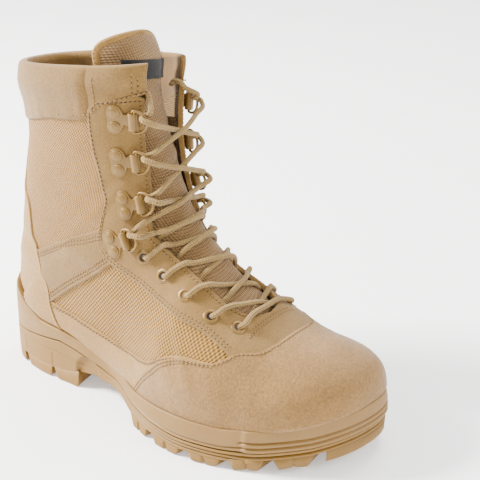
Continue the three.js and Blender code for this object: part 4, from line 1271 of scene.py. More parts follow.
    def build(self) -> None:
        """Makes every part of the upper."""
        toe, vamp, sew = self.toe(), self.vamp(), self.sewing.sew
        publish(toe.mesh("toe_cap"), Finish.TOE, Slot.SUEDE, "upper")
        publish(vamp.mesh("vamp"), Finish.NUBUCK, Slot.SUEDE, "upper")
        lateral, medial, middle = (0.09, 0.335), (0.665, 0.91), (0.335, 0.665)
        for inset, span in ((2.2, lateral), (2.2, medial), (5.2, lateral), (5.2, medial), (2.4, middle)):
            sew("toe_stitches", toe.row(1, inset, *span), 3.0)
        for inset, span in ((2.6, (0.3, 0.7)), (5.0, (0.22, 0.78))):
            sew("toe_stitches", vamp.row(1, inset, *span), 2.8)
        for side, word in SIDES.items():
            plans = {
                "quarter": (self.quarter(side), Finish.QUARTER),
                "shaft": (self.shaft(side), Finish.SHAFT),
                "side_strip": (self.strip(side), Finish.SUEDE),
                "ankle_band": (self.band(side), Finish.COLLAR),
                "heel_strip": (self.heel(side), Finish.SUEDE),
                "facing": (self.facing(side), Finish.NUBUCK),
            }
            for part, (patch, finish) in plans.items():
                publish(patch.mesh(f"{part}_{word}"), finish, Slot.SUEDE, "upper")
            lining = self.lining(side).mesh(f"lining_{word}")
            lining.flip_normals()
            publish(lining, Finish.LINING, Slot.SUEDE, "upper")
            throat = math.degrees(float(LAST.throat_angle(np.array([18.0]), side, 8.0 * (side > 0))[0]))
            tab = self.collar(f"collar_tab_{word}", side, (throat, 71.0), (4.0, 5.0), 0.35, False)
            self.collar(f"collar_pad_{word}", side, (71.0, 180.0), (5.5, 7.0), 1.5, True)
            self.sew_side(side, plans["facing"][0], plans["side_strip"][0], plans["ankle_band"][0], tab)

    def sew_side(self, side: int, facing: Patch, strip: Patch, band: Patch, tab: Array) -> None:
        """Stitches on one side of the upper.

        Args:
            side: -1 lateral, 1 medial.
            facing: The eyelets' strip.
            strip: The strip along the sole.
            band: The ankle band.
            tab: Points of the collar's plain end.
        """
        sew = self.sewing.sew
        for thread, panel, edge, inset, low, high, pitch, sway in (
            ("facing_stitches", facing, 1, 2.0, 0.0, 0.52, 3.0, 0.0),
            ("facing_stitches", facing, 1, 4.6, 0.0, 0.52, 3.0, 0.0),
            ("facing_dark_stitches", facing, 1, 2.4, 0.52, 0.97, 3.3, 0.0),
            ("facing_stitches", facing, 0, 3.2, 0.02, 0.98, 3.0, 0.0),
            ("facing_dark_stitches", facing, 3, 3.0, 0.06, 0.92, 3.2, 0.0),
            ("side_stitches", strip, 0, 3.2, 0.06, 0.93, 3.1, 0.35),
            ("side_stitches", strip, 0, 5.8, 0.06, 0.93, 3.1, 0.25),
            ("ankle_stitches", band, 0, 3.8, 0.03, 0.95, 3.0, 0.0),
            ("ankle_stitches", band, 0, 6.4, 0.03, 0.95, 3.0, 0.0),
            ("ankle_stitches", band, 1, 3.8, 0.03, 0.95, 3.0, 0.0),
            ("ankle_stitches", band, 1, 6.4, 0.03, 0.95, 3.0, 0.0),
        ):
            sew(thread, panel.row(edge, inset, low, high), pitch, sway=sway)
        a = np.radians(np.linspace(22, 178, LINE_POINTS))
        spots, out = LAST.surface(self.seam(a) + 0.22, side * a)
        shown = spots + out * 0.75
        sew("collar_stitches", (shown, heading(shown), out), 3.4)
        near_v, near_a = np.linspace(16, 19, 9), side * a
        near = LAST.skin(near_v[:, None], near_a[None]).reshape(-1, 3)
        for column in (-3, 3, 5):
            line = tab[2:10, column]
            (fine,) = read_at(np.linspace(0, len(line) - 1, 200), np.arange(len(line)), line)
            row, place = divmod(int(np.abs(near - fine[100]).sum(-1).argmin()), len(a))
            normal = LAST.normal(near_v[row : row + 1], near_a[place : place + 1])
            sew("collar_stitches", (fine, heading(fine), np.repeat(normal, 200, 0)), 3.8, 0.3)


# ---------------------------------------------------------------- tongue and insole
@dataclass
class Tongue:
    """A padded cloth tongue with a bound edge and a blank black label."""

    clear: float = 5.0
    under: float = 8.0
    set_back: float = 17.0
    fold: float = 6.0
    half_lateral: float = 35.0
    half_medial: float = 25.0
    end: float = 20.4
    round_power: float = 3.2
    thickness: float = 4.6
    binding: tuple[float, float] = (5.6, 4.4)
    label: tuple[float, float, float, float] = (16.45, 18.45, -0.6, 1.06)

    def sheet(self, v: Array, t: Array, lift: Array | float) -> tuple[Array, Array]:
        """Points and normals of the tongue's face, t from -1 lateral to 1 medial."""
        v, t = np.broadcast_arrays(np.asarray(v, float), np.asarray(t, float))
        side = np.where(t < 0, -1, 1)
        rows = np.array(LAST.gap_rows, float)
        rise = LAST._row(1, v)
        back = self.set_back * smooth((rise - 176) / 74) + self.fold * smooth((rise - 252) / 24)
        round_ = np.sqrt(np.clip(1 - np.clip((v - 19) / (self.end - 19), 0, 1) ** self.round_power, 0, 1))
        gap = np.interp(np.maximum(v, 1.6), rows[:, 0], rows[:, 1]) + self.under
        half = mix(gap, np.where(t < 0, self.half_lateral, self.half_medial), smooth((v - 10) / 7))
        angle = np.abs(t) * LAST.angle_at(v, side, half * round_)
        base, out = LAST.surface(v, side * angle)
        spots = base + out * (np.asarray(lift) - self.clear)[..., None]
        spots[..., 0] -= back
        return spots, out

    def puff(self, v: Array, t: Array) -> Array:
        """How far the padding swells the face."""
        soft = 1.3 * (1 - np.abs(t) ** 3) + 0.5 * np.sin(v * 1.9 + t * 2.0) * (1 - np.abs(t))
        return soft + 0.35 * np.sin(v * 4.1 - t * 3.0) * (1 - t * t)

    def face(self, front: bool) -> bpy.types.Object:
        """The front or back cloth."""
        up, over = np.linspace(0.85, self.end - 0.02, 150), np.linspace(-0.985, 0.985, 40)
        v, t = np.meshgrid(up, over, indexing="ij")
        lift = self.puff(v, t) - 0.4 if front else -self.thickness + 1.2 - 1.2 * (1 - np.abs(t) ** 3)
        spots, out = self.sheet(v, t, lift)
        name, finish = ("tongue_face", Finish.TONGUE) if front else ("tongue_back", Finish.LINING)
        mesh = grid_mesh(name, spots, spots[..., [1, 2]], out if front else -out)
        return publish(mesh, finish, Slot.TONGUE, "tongue")

    def rim(self) -> Line3:
        """The edge's path from the lateral side over the top to the medial side."""
        round_top = 19 + (self.end - 19.004) * np.sin(np.linspace(0, QUARTER, 60))[1:]
        half = np.concatenate([np.linspace(1.4, 19, 130), round_top])
        v = np.concatenate([half, half[::-1]])
        t = np.concatenate([-np.ones(len(half)), np.ones(len(half))])
        spots, out = self.sheet(v, t, -1.6)
        walked = walk(spots)
        goal = np.linspace(0, walked[-1], int(walked[-1] / 2.0))
        path, out = read_at(goal, walked, spots, out)
        kernel = np.ones(5) / 5
        for k in range(3):
            path[2:-2, k] = np.convolve(path[:, k], kernel, "valid")
        out = unit(out)
        return path, unit(np.cross(heading(path), out)), out

    def build(self, sewing: Stitching) -> None:
        """Makes the tongue, its binding, its label and the gusset."""
        face = self.face(True)
        self.face(False)
        path, across, out = self.rim()
        wide, tall = self.binding
        turn = np.linspace(0, 2 * math.pi, 14, endpoint=False)
        section = np.c_[np.sign(np.cos(turn)) * np.abs(np.cos(turn)) ** 0.7 * wide / 2,
                        np.sign(np.sin(turn)) * np.abs(np.sin(turn)) ** 0.8 * tall / 2]
        mesh = tube("tongue_binding", path, across, out, section, False)
        publish(mesh, Finish.SUEDE, Slot.TONGUE, "tongue")
        inner = path + across * (-wide * 0.22) + out * (tall * 0.42)
        sewing.sew("tongue_stitches", (inner, heading(inner), out), 3.0)
        self.build_label()
        for side, word in SIDES.items():
            self.gusset(side, f"gusset_{word}")

    def build_label(self) -> None:
        """A blank woven label, folded over the tongue's medial edge."""
        low, high, left, right = self.label
        v, t = np.meshgrid(np.linspace(low, high, 24), np.linspace(left, right, 24), indexing="ij")
        rim = np.minimum.reduce([v - low, high - v, (t - left) * 2, (right - t) * 2])
        v = v + 0.52 * np.clip(0.35 - t, 0, 1) ** 1.1
        over = 1.9 * smooth((t - 0.72) / 0.2) * (1 - 1.4 * smooth((t - 0.98) / 0.1))
        spots, out = self.sheet(v, t, self.puff(v, t) - 0.35 + over + 0.55 * smooth(rim / 0.05 + 0.2))
        mesh = grid_mesh("tongue_label", spots, spots[..., [1, 2]], out)
        publish(mesh, Finish.LABEL, Slot.TONGUE, "tongue")

    def gusset(self, side: int, name: str) -> None:
        """The soft fold that joins the tongue's edge to the upper."""
        v = np.linspace(1.5, 13.5, 90)
        edge, _ = self.sheet(v, side * 0.97 + 0 * v, -1.4)
        skin, out = LAST.surface(v, side * LAST.throat_angle(v, side, 5.0))
        share = np.linspace(0, 1, 12)[:, None, None]
        bow = np.sin(share * math.pi) * out[None] * 0.8
        spots = mix(edge[None], (skin - out * (LAST.wall + 0.4))[None], share) + bow
        mesh = grid_mesh(name, spots, spots[..., [0, 2]], np.repeat(out[None], 12, 0))
        publish(mesh, Finish.TONGUE, Slot.TONGUE, "tongue")


def turned(u: Array, w: Array, degrees: float) -> tuple[Array, Array]:
    """Sizes along and across, turned about the middle."""
    c, s = math.cos(math.radians(degrees)), math.sin(math.radians(degrees))
    return u * c - w * s, u * s + w * c


@dataclass
class Sole:
    """The insole, the rubber cup and the lugged outsole."""

    joint_lip: float = 6.0
    spring_start: float = 236.0
    toe_spring: float = 11.0
    around: int = 760
    # inset, height over the rim's line
    rim_profile: Rows = (
        (1.8, -0.6), (2.1, -0.25), (2.5, -0.03), (2.9, 0.0), (3.3, -0.15), (3.6, -0.6), (3.9, -1.4),
        (4.4, -3.0), (4.9, -4.8), (5.4, -6.8),
    )
    # side, start, end, depth, rake
    edge_lugs: Rows = (
        (-1, 30.5, 60.5, 27, 0), (-1, 63, 88, 27, -3), (1, 30.5, 60.5, 27, 0), (1, 63, 88, 27, -3),
        (-1, 152, 174, 26, 6), (-1, 180, 206, 30, 6), (-1, 213, 237, 32, 4), (-1, 243, 264, 30, 2),
        (-1, 270, 291, 26, -2), (1, 160, 178, 20, 6), (1, 184, 204, 24, 6), (1, 211, 231, 28, 4),
        (1, 238, 257, 28, 2), (1, 263, 279, 24, -2),
    )
    # x, y, long, wide, turn in degrees
    inner_lugs: Rows = (
        (30, 1, 8, 24, 0), (43, 1, 8, 20, 0), (56, 1, 8, 20, 0), (69, 1, 8, 20, 0), (174, -7, 15, 14, 20),
        (178, 10, 13, 13, -20), (196, -15, 14, 13, 20), (199, 3, 14, 14, 0), (218, -12, 14, 13, 20),
        (221, 8, 14, 14, -20), (241, -8, 14, 14, 20), (243, 12, 13, 13, -20),
    )

    def ground(self, x: Array) -> Array:
        """Height of the tread's ground line."""
        share = (x - self.spring_start) / (LAST.length - self.spring_start)
        return self.toe_spring * np.clip(share, 0, 1) ** 1.5

    def joint_inner(self, x: Array) -> Array:
        """Height of the joint away from the edge."""
        return np.minimum(LAST.height("joint", x), LAST.height("floor", x) - 5)

    def ring(self, inset: float) -> Array:
        """The outline at an inset, closed."""
        points = LAST.outline(inset)
        picked = points[np.linspace(0, len(points), self.around, endpoint=False).astype(int)]
        return np.vstack([picked, picked[:1]])

    def level(self, inset: float, height: Height, push: Push) -> Array:
        """One ring of points round the sole.

        Args:
            inset: Millimetres in from the outline.
            height: Its height at each x.
            push: How far it is pushed in, by inset, x, y and z.

        Returns:
            The ring, closed.
        """
        ring = self.ring(inset)
        x, y = ring.T
        z = height(x)
        along = unit(np.roll(ring[:-1], -1, 0) - np.roll(ring[:-1], 1, 0))
        along = np.vstack([along, along[:1]])
        return np.c_[ring + np.c_[-along[:, 1], along[:, 0]] * push(inset, x, y, z)[:, None], z]

    def shell(self, name: str, levels: Sequence[tuple[float, Height]], push: Push) -> Mesh:
        """Rings round the sole joined into a skin, closed across the sole at both ends.

        Args:
            name: The mesh's name.
            levels: Insets with a height for each x.
            push: How far a ring is pushed in.

        Returns:
            The mesh.
        """
        rows = [self.level(inset, height, push) for inset, height in levels]
        opposite = -np.arange(self.around + 1) % self.around
        first, last = (mix(row, row[opposite], 0.5) for row in (rows[0], rows[-1]))
        spots = np.stack([first, *rows, last])
        threads = np.stack(np.broadcast_arrays(np.arange(spots.shape[1])[None] * 1.0, spots[..., 2]), -1)
        return grid_mesh(name, spots, threads)

    def cup_push(self, inset: float, x: Array, y: Array, z: Array) -> Array:
        """How far the cup's side is pushed in: grooves, less the flare at heel and bumper."""
        low, high = LAST.height("joint", x), rim_line(x)
        flare = 1.5 * smooth((z - low - 4) / np.maximum(high - low - 6, 4)) * smooth((95 - x) / 25)
        flare = flare * smooth((x - 7) / 14) - 3.6 * smooth((96 - x) / 50) * (2.9 < inset < 7.0)
        flare = flare + 1.5 * smooth((x - 250 + 12 * (y > 0)) / 4) * (inset < 2.9 or inset > 8)
        return (self.grooves(x, y, z) if inset < 1.75 else 0.0) - flare

    def slab_push(self, inset: float, x: Array, y: Array, z: Array) -> Array:
        """How far the outsole's side is pushed in."""
        return self.grooves(x, y, z) if inset < 10 else 0 * x

    @staticmethod
    def above(column: str, extra: float) -> Height:
        """A height so far above one of the last's heights."""
        return lambda x: LAST.height(column, x) + extra

    def cup(self) -> None:
        """The cup that holds the upper, with a rolled rim."""
        under = [(inset, lambda x: self.joint_inner(x) + 1.0) for inset in (9.0, self.joint_lip)]
        foot = ((1.6, 0.6), (1.2, 0.65), (0.7, 0.85), (0.35, 1.2))
        lip = [(inset, self.above("joint", up)) for inset, up in foot]
        start = self.above("joint", 1.6)
        wall = [
            (0.15 + 1.5 * share**2.2, lambda x, q=share: mix(start(x), rim_line(x) - 1.1, q))
            for share in np.linspace(0.0, 1.0, 30)
        ]
        rim = [(inset, lambda x, up=up: rim_line(x) + up) for inset, up in self.rim_profile]
        floor = [(6.2, self.above("floor", 1.5)), (9.0, self.above("floor", 0.6))]
        mesh = self.shell("cup", under + lip + wall + rim + floor, self.cup_push)
        publish(mesh, Finish.CUP, Slot.CUP, "midsole")

    def grooves(self, x: Array, y: Array, z: Array) -> Array:
        """Depth of the grooves moulded round the sole's side, in millimetres."""

        def line(off: Array, width: float) -> Array:
            return np.exp(-((off / width) ** 2))

        drop = LAST.height("joint", x) - z
        fore, toe = smooth((x - 146) / 14), smooth((x - 236) / 20)
        opened = drop / (1 + 0.32 * toe)
        depth = 0.0 * x
        for offset in (-3.1, 2.5, 4.9):
            depth = depth + (1.2 + 0.8 * toe) * fore * line(opened - offset, 0.5)
        depth = depth + 2.0 * smooth((x - 247 + 12 * (y > 0)) / 5) * line(opened + 6.1, 0.52)
        arc_z = 24.5 - 0.0021 * (x - 48) ** 2
        depth += 0.55 * line(z - arc_z, 0.5) * (smooth((x - 4) / 5) * smooth((96 - x) / 6))
        for at, low, high in ((30, 12, 23), (62, 11, 22)):
            depth += 0.8 * (line(x - at, 0.6) * smooth((z - low) * 1.5) * smooth((high - z) * 1.5))
        # a half moon hollowed between heel and waist
        from_moon = np.hypot((x - 97) / 11.5, np.maximum((z - 16) / 13.5, 0))
        depth += 2.6 * smooth(np.clip(1 - from_moon, 0, 1) * (z > LAST.height("roof", x) - 2) * 5)
        depth += 0.5 * line(drop - 3.2, 0.5) * (smooth((x - 108) / 6) * smooth((150 - x) / 8))
        return depth

    def slab(self) -> None:
        """The outsole's body, with its side grooves."""
        above, steps = self.above, 46
        start, end = above("joint", -0.5), above("roof", 0.0)
        levels = [(self.joint_lip, self.joint_inner), (1.2, above("joint", -0.1)),
                  (0.4, above("joint", -0.2)), (0.1, start)]
        for k in range(1, steps + 1):
            inset = 0.0 if k < steps - 1 else 0.3
            levels.append((inset, lambda x, q=k / steps: mix(start(x), end(x), q)))
        levels += [(1.4, above("roof", -0.15)), (14.0, above("roof", 0.2)), (26.0, above("roof", 0.2))]
        publish(self.shell("outsole_body", levels, self.slab_push), Finish.TREAD, Slot.TREAD, "outsole")

    @staticmethod
    def blocks_mesh(name: str, shapes: list[Block]) -> Mesh:
        """Many rubber blocks as one mesh."""
        whole = bmesh.new()
        for low, high, bevel in shapes:
            bm = bmesh.new()
            verts = [bm.verts.new(p) for p in low]
            made = bmesh.ops.extrude_face_region(bm, geom=[bm.faces.new(verts)])
            tops = [g for g in made["geom"] if isinstance(g, bmesh.types.BMVert)]
            where = {tuple(round(c, 4) for c in v.co): v for v in tops}
            for bottom, top in zip(low, high, strict=True):
                where[tuple(round(float(c), 4) for c in Vector(bottom))].co = Vector(top)
            sharp = list(dict.fromkeys(e for v in verts for e in v.link_edges))
            bmesh.ops.bevel(bm, geom=sharp, offset=bevel, offset_type="OFFSET", segments=2, profile=0.5,
                            affect="EDGES", material=-1, clamp_overlap=True)
            bmesh.ops.recalc_face_normals(bm, faces=bm.faces)
            merge(whole, bm)
        mesh = as_mesh(whole, name)
        mesh.vertices.foreach_set("co", to_frame(corners(mesh)).ravel())
        mesh.update()
        return mesh

    def lug(self, side: int, start: float, end: float, depth: float, rake: float) -> Block:
        """An edge lug with draft; those in front of the waist have a notch in their outer face.

        Args:
            side: -1 lateral, 1 medial.
            start: x of its rear end.
            end: x of its front end.
            depth: How far it reaches in from the edge.
            rake: How far its inner end lies forward.

        Returns:
            The block.
        """
        middle = (start + end) / 2
        notch, lean = (0.0, 1.6) if end < 100 else (2.6, 2.4)
        low, high = [], []
        steps = ((start, 0, 1), (start + 3.2, 0, 0), (middle - 1.7, 0, 0), (middle, notch, 0),
                 (middle + 1.7, 0, 0), (end - 3.2, 0, 0), (end, 0, -1))
        for x, cut, corner in steps:
            at, up = x + corner * lean, x - corner * 0.6
            lift = 1.3 if corner else 0.0
            low.append((at, LAST.edge(at, side, 0.55) - side * cut, self.ground(at) + lift))
            high.append((up, LAST.edge(up, side, 0.05), LAST.height("roof", x) + 1.5))
        for share, back in ((0.86, 5.0), (0.5, 0.0), (0.14, 5.0)):
            at = mix(start, end, share)
            x, y = at + rake, LAST.edge(at, side, 0.4) - side * (depth - back)
            low.append((x, y, self.ground(x)))
            high.append((x, y - side * 1.0, LAST.height("roof", x) + 1.5))
        return np.array(low, float), np.array(high, float), 0.5

    def stud(self, x0: float, y0: float, long: float, wide: float, turn: float, rise: float = 0.0) -> Block:
        """A block with cut corners inside the tread.

        Args:
            x0: Its middle.
            y0: Its middle.
            long: Its size along the sole.
            wide: Its size across.
            turn: Degrees that it is turned.
            rise: How far it stays off the ground.

        Returns:
            The block.
        """
        a, b = long / 2, wide / 2
        low, high = [], []
        outline = ((-a, -b * 0.4), (-a * 0.4, -b), (a, -b * 0.6), (a, b * 0.6), (-a * 0.4, b), (-a, b * 0.4))
        for u, w in outline:
            along, across = turned(u, w, turn)
            for k, out in ((0.93, low), (1.05, high)):
                x, y = x0 + along * k, y0 + across * k
                out.append((x, y, self.ground(x) + rise if out is low else LAST.height("roof", x) + 1.5))
        return np.array(low, float), np.array(high, float), 0.6

    def oval(self, x0: float, y0: float, long: float, wide: float, turn: float) -> Block:
        """A low oval pad at the waist."""
        along, across = turned(*round_section(long, wide, 20).T, turn)
        roof = LAST.height("roof", x0 + along)
        low = np.c_[x0 + along, y0 + across, roof - 2.2]
        return low, np.c_[x0 + along * 1.06, y0 + across * 1.06, roof + 1.5], 0.8

    def ends(self) -> list[Block]:
        """The heel's rear block, cut by a slot, and the toe's block."""
        shapes = []
        ring, outer = LAST.outline(0.45), LAST.outline(0.05)
        for side in SIDES:
            pick = (ring[:, 0] < 26) & (ring[:, 1] * side > 1.2)
            order = np.argsort(ring[pick, 0])[np.linspace(0, pick.sum() - 1, 18).astype(int)]
            edge, high = ring[pick][order], outer[pick][order]
            inner = np.array([(26.5, side * 1.3)])
            chamfer = np.clip(1 - edge[:, 0] / 9, 0, 1) * 3.4
            low = np.c_[np.vstack([edge, inner]), np.append(chamfer, 0)]
            shapes.append((low, np.c_[np.vstack([high, inner]), np.full(len(low), 10.4)], 0.7))
        pick = ring[:, 0] > 292 - 0.2 * ring[:, 1]
        order = np.argsort(ring[pick, 1])[np.linspace(0, pick.sum() - 1, 22).astype(int)]
        edge, high = ring[pick][order], outer[pick][order]
        low = np.c_[edge, self.ground(edge[:, 0])]
        shapes.append((low, np.c_[high, LAST.height("roof", edge[:, 0]) + 1.5], 0.7))
        return shapes

    def tread_details(self) -> list[Block]:
        """Low ribs, ovals and studs under the sole."""
        shapes = [self.stud(27 + k * 9.5, 1, 4.0, 16, 0, 2.2) for k in range(5)]  # bars in the heel's middle
        for x, y, turn in ((18, -16, 62), (18, 17, -62), (12, -9, 40), (12, 10, -40)):
            shapes.append(self.stud(x, y, 3.0, 14, turn, -0.55))
        shapes += [self.oval(125, -13, 58, 17, -6), self.oval(118, 10, 52, 15, 4)]
        for x in 105 + np.arange(7) * 6.6:  # ribs on the lateral oval
            shapes.append(self.stud(x, -13 - (x - 125) * 0.1, 2.2, 12.5, 0, LAST.height("roof", x) - 3.4))
        for x in 96 + np.arange(8) * 8.0:  # segments along the waist's medial side
            shapes.append(self.stud(x, LAST.edge(x, 1, 6.0) - 2.0, 5.4, 6, -8, LAST.height("roof", x) - 2.6))
        for x, y, long, wide, turn in self.inner_lugs[4:]:
            shapes.append(self.stud(x, y, long * 0.42, wide * 0.42, turn, -0.5))
        for k in range(3):  # chevrons at the toe
            for side in SIDES:
                shapes.append(self.stud(285 - k * 7, 18 + side * 8 - k * 1.5, 2.6, 15, side * 24, 0.6))
        return shapes

    def insole(self) -> None:
        """The footbed, slightly cupped at the heel."""
        inset = LAST.feather_inset + LAST.wall + 1.5

        def height(up: float, dish: int) -> Height:
            return lambda x: LAST.height("floor", x) + up + dish * smooth((70 - x) / 60)

        profile = ((2, 0.5, 0), (0.6, 0.5, 0), (0, 1.0, 0), (0, 3.2, 1), (0.5, 4.0, 1), (1.4, 4.3, 1),
                   (6, 4.2, 0), (16, 3.9, 0))
        levels = [(inset + further, height(up, dish)) for further, up, dish in profile]
        publish(self.shell("insole_felt", levels, self.cup_push), Finish.INSOLE, Slot.INSOLE, "insole")

    def build(self) -> None:
        """Makes the sole's pieces."""
        self.cup()
        self.slab()
        lugs = [self.lug(*row) for row in self.edge_lugs] + [self.stud(*row) for row in self.inner_lugs]
        lugs += self.ends()
        for name, shapes in (("lugs", lugs), ("tread_details", self.tread_details())):
            publish(self.blocks_mesh(name, shapes), Finish.TREAD, Slot.TREAD, "outsole")
        self.insole()


# ---------------------------------------------------------------- eyelets, rings and laces
@dataclass
class Hardware:
    """Eyelets, riveted plates with their lace rings, and where they stand."""

    stations: tuple[float, ...] = (1.35, 2.22, 3.29, 4.37, 5.39)
    inset: float = 15.3
    # station, angle, tilt
    ring_sites: Rows = ((6.77, 66, 24), (8.3, 48.8, 12), (12.2, 48, 6), (15.4, 51, 0))
    flange: float = 10.6
    bore: float = 5.4
    rivet_spacing: float = 10.2
    rivet_diameter: float = 8.2
    plate: float = 1.1
    plate_lift: float = 0.8
    barrel_offset: float = 13.0
    barrel_length: float = 12.6
    barrel_diameter: float = 6.2
    wire: float = 2.0
    ring_reach: float = 10.5
    ring_width: float = 16.0
    ring_tip: float = 11.0  # degrees the lace lifts each ring

    def frame(self, v: float, side: int, angle: float, tilt: float = 0.0) -> Array:
        """A matrix on the skin: z outward, x forward along the skin, turned up by tilt."""
        at, a = np.array([v]), np.array([side * angle])
        (spot,), (out,) = LAST.surface(at, a)
        up = unit(np.array([0, 0, 1.0]) - out * out[2])
        forward = np.cross(up, out) * -side
        turn = math.radians(tilt)
        x = forward * math.cos(turn) + up * math.sin(turn)
        made = np.eye(4)
        made[:3, 0], made[:3, 1], made[:3, 2], made[:3, 3] = x, np.cross(out, x), out, spot
        return made

    def angle_in(self, v: float, side: int, inset: float) -> float:
        """The angle that lies 'inset' back from the throat's edge."""
        start = float(LAST.throat_angle(np.array([v]), side)[0])
        angle = start + np.linspace(0, 1.2, 400)
        spots = LAST.skin(np.full(400, v), side * angle)
        walked = walk(spots)
        return float(np.interp(inset, walked, angle))

    def eyelet_frames(self, side: int) -> list[Array]:
        """Where the eyelets stand on one side."""
        return [self.frame(v, side, self.angle_in(v, side, self.inset)) for v in self.stations]

    def ring_frames(self, side: int) -> list[Array]:
        """Where the ring plates stand on one side."""
        return [self.frame(v, side, math.radians(angle), tilt) for v, angle, tilt in self.ring_sites]

    @staticmethod
    def spun(profile: Sequence[tuple[float, float]], steps: int) -> Bm:
        """A profile of (radius, height) turned round z."""
        bm = bmesh.new()
        verts = [bm.verts.new((r, 0, z)) for r, z in profile]
        edges = [bm.edges.new(pair) for pair in zip(verts, verts[1:], strict=False)]
        bmesh.ops.spin(bm, geom=verts + edges, cent=(0, 0, 0), axis=(0, 0, 1), dvec=(0, 0, 0),
                       angle=2 * math.pi, steps=steps, use_merge=True, use_duplicate=False)
        bmesh.ops.remove_doubles(bm, verts=bm.verts, dist=0.001)
        bmesh.ops.recalc_face_normals(bm, faces=bm.faces)
        return bm

    def eyelet(self) -> Mesh:
        """A rolled eyelet with a flat ring."""
        bore, rim = self.bore / 2, self.flange / 2
        profile = [(bore + 0.35, -2.9), (bore, -2.7), (bore, 0.7), (bore + 0.15, 1.2), (bore + 0.5, 1.55),
                   (bore + 0.95, 1.62), (bore + 1.5, 1.5), (rim - 0.5, 1.25), (rim - 0.12, 1.05), (rim, 0.8),
                   (rim - 0.05, 0.62), (bore + 0.8, 0.5), (bore + 0.35, 0.4), (bore + 0.35, -2.9)]
        return as_mesh(self.spun(profile, 32), "eyelet")

    def plate_mesh(self) -> Mesh:
        """A plate with two rivets and the barrel that holds the ring."""
        lobe = self.rivet_diameter / 2 + 1.2
        half = self.rivet_spacing / 2
        lobes = [[(lobe * math.cos(turn), middle + lobe * math.sin(turn)) for turn in np.linspace(*arc, 14)]
                 for middle, arc in ((half, (0.4, math.pi)), (-half, (math.pi, 2 * math.pi - 0.4)))]
        neck, root = self.barrel_length / 2 - 1.5, self.barrel_offset
        throat = [(root - 6.6, -3.8), (root - 4.4, -neck + 0.6), (root - 1, -neck)]
        outline = [*lobes[0], (-lobe * 0.82, 0.0), *lobes[1], *throat]
        outline += [(x, -y) for x, y in reversed(throat)]
        bm = bmesh.new()
        face = bm.faces.new([bm.verts.new((x, y, self.plate_lift - 0.2)) for x, y in outline])
        made = bmesh.ops.extrude_face_region(bm, geom=[face])
        tops = [g for g in made["geom"] if isinstance(g, bmesh.types.BMVert)]
        bmesh.ops.translate(bm, vec=(0, 0, self.plate + 0.2), verts=tops)
        high = self.plate_lift + self.plate
        rims = [e for e in bm.edges if all(v.co.z > high - 0.01 for v in e.verts)]
        bmesh.ops.bevel(bm, geom=rims, offset=0.4, segments=3, profile=0.5, affect="EDGES", material=-1)
        bmesh.ops.recalc_face_normals(bm, faces=bm.faces)
        r = self.rivet_diameter / 2
        shares = ((0.0, 1.45), (0.3, 1.42), (0.55, 1.28), (0.72, 1.0), (0.78, 0.82), (0.83, 0.8), (0.9, 0.86),
                  (0.97, 0.7), (1.0, 0.4), (1.0, -0.3))
        dome = [(r * share, high + up) for share, up in shares]
        for y in (-half, half):
            rivet = self.spun(dome, 24)
            bmesh.ops.translate(rivet, vec=(0, y, 0), verts=rivet.verts)
            merge(bm, rivet)
        radius, tall, bore = self.barrel_diameter / 2, self.barrel_length / 2, self.wire / 2 + 0.5
        lip = [(bore, -tall + 0.3), (radius - 0.5, -tall), (radius - 0.1, -tall + 0.25),
               (radius, -tall + 0.7)]
        roll = [*lip, *((r, -z) for r, z in reversed(lip)), lip[0]]
        barrel = self.spun(roll, 24)
        bmesh.ops.rotate(barrel, verts=barrel.verts, cent=(0, 0, 0), matrix=Matrix.Rotation(QUARTER, 3, "X"))
        bmesh.ops.translate(barrel, vec=(self.barrel_offset, 0, self.plate_lift + radius), verts=barrel.verts)
        merge(bm, barrel)
        return as_mesh(bm, "plate")

    def ring_path(self) -> Array:
        """The ring's wire in its plate's own sizes, tipped up by the lace."""
        turn = np.linspace(-QUARTER, QUARTER, 40)
        x = self.ring_reach * np.cos(turn) ** 0.8
        y = np.sin(turn) * self.ring_width / 2
        back = np.linspace(self.ring_width / 2, -self.ring_width / 2, 16)[1:-1]
        x, y = np.concatenate([x, 0 * back]), np.concatenate([y, back])
        tip = math.radians(self.ring_tip)
        z = self.plate_lift + self.barrel_diameter / 2 + x * math.sin(tip)
        return np.c_[self.barrel_offset + x * math.cos(tip), y, z]

    def ring_mesh(self, name: str, frame: Array) -> Mesh:
        """One lace ring."""
        local = np.c_[self.ring_path(), np.ones(54)]
        for _ in range(2):
            local = (np.roll(local, 1, 0) + local * 2 + np.roll(local, -1, 0)) / 4
        path = (local @ frame.T)[:, :3]
        along = unit(np.roll(path, -1, 0) - np.roll(path, 1, 0))
        out = np.repeat(frame[None, :3, 2], len(path), 0)
        return tube(name, path, np.cross(along, out), out, round_section(self.wire, self.wire, 12), True)

    def build(self) -> None:
        """Makes every eyelet, plate and ring."""
        eyelet, plate = self.eyelet(), self.plate_mesh()
        # a dark disc set in each eyelet's bore: painted shade inside the hole
        hollow = bmesh.new()
        bmesh.ops.create_circle(hollow, cap_ends=True, segments=24, radius=self.bore / 2 + 0.2,
                                matrix=Matrix.Translation((0, 0, 0.72)))
        disc = as_mesh(hollow, "disc")
        for side, word in SIDES.items():
            holes = self.eyelet_frames(side)
            for i, frame in enumerate(holes, 1):
                mesh = scatter(f"rolled_eyelet_{word}_{i}", eyelet, frame[None])
                publish(mesh, Finish.PAINT, Slot.METAL, f"eyelet_{word}_{i}")
            publish(scatter(f"eyelet_painted_shade_{word}", disc, np.stack(holes)), Finish.EYELET_SHADE, Slot.METAL)
            for i, frame in enumerate(self.ring_frames(side), 1):
                mesh = scatter(f"riveted_plate_{word}_{i}", plate, frame[None])
                publish(mesh, Finish.PAINT, Slot.METAL, f"ring_plate_{word}_{i}")
                mesh = self.ring_mesh(f"wire_ring_{word}_{i}", frame)
                publish(mesh, Finish.PAINT, Slot.METAL, f"lace_ring_{word}_{i}")


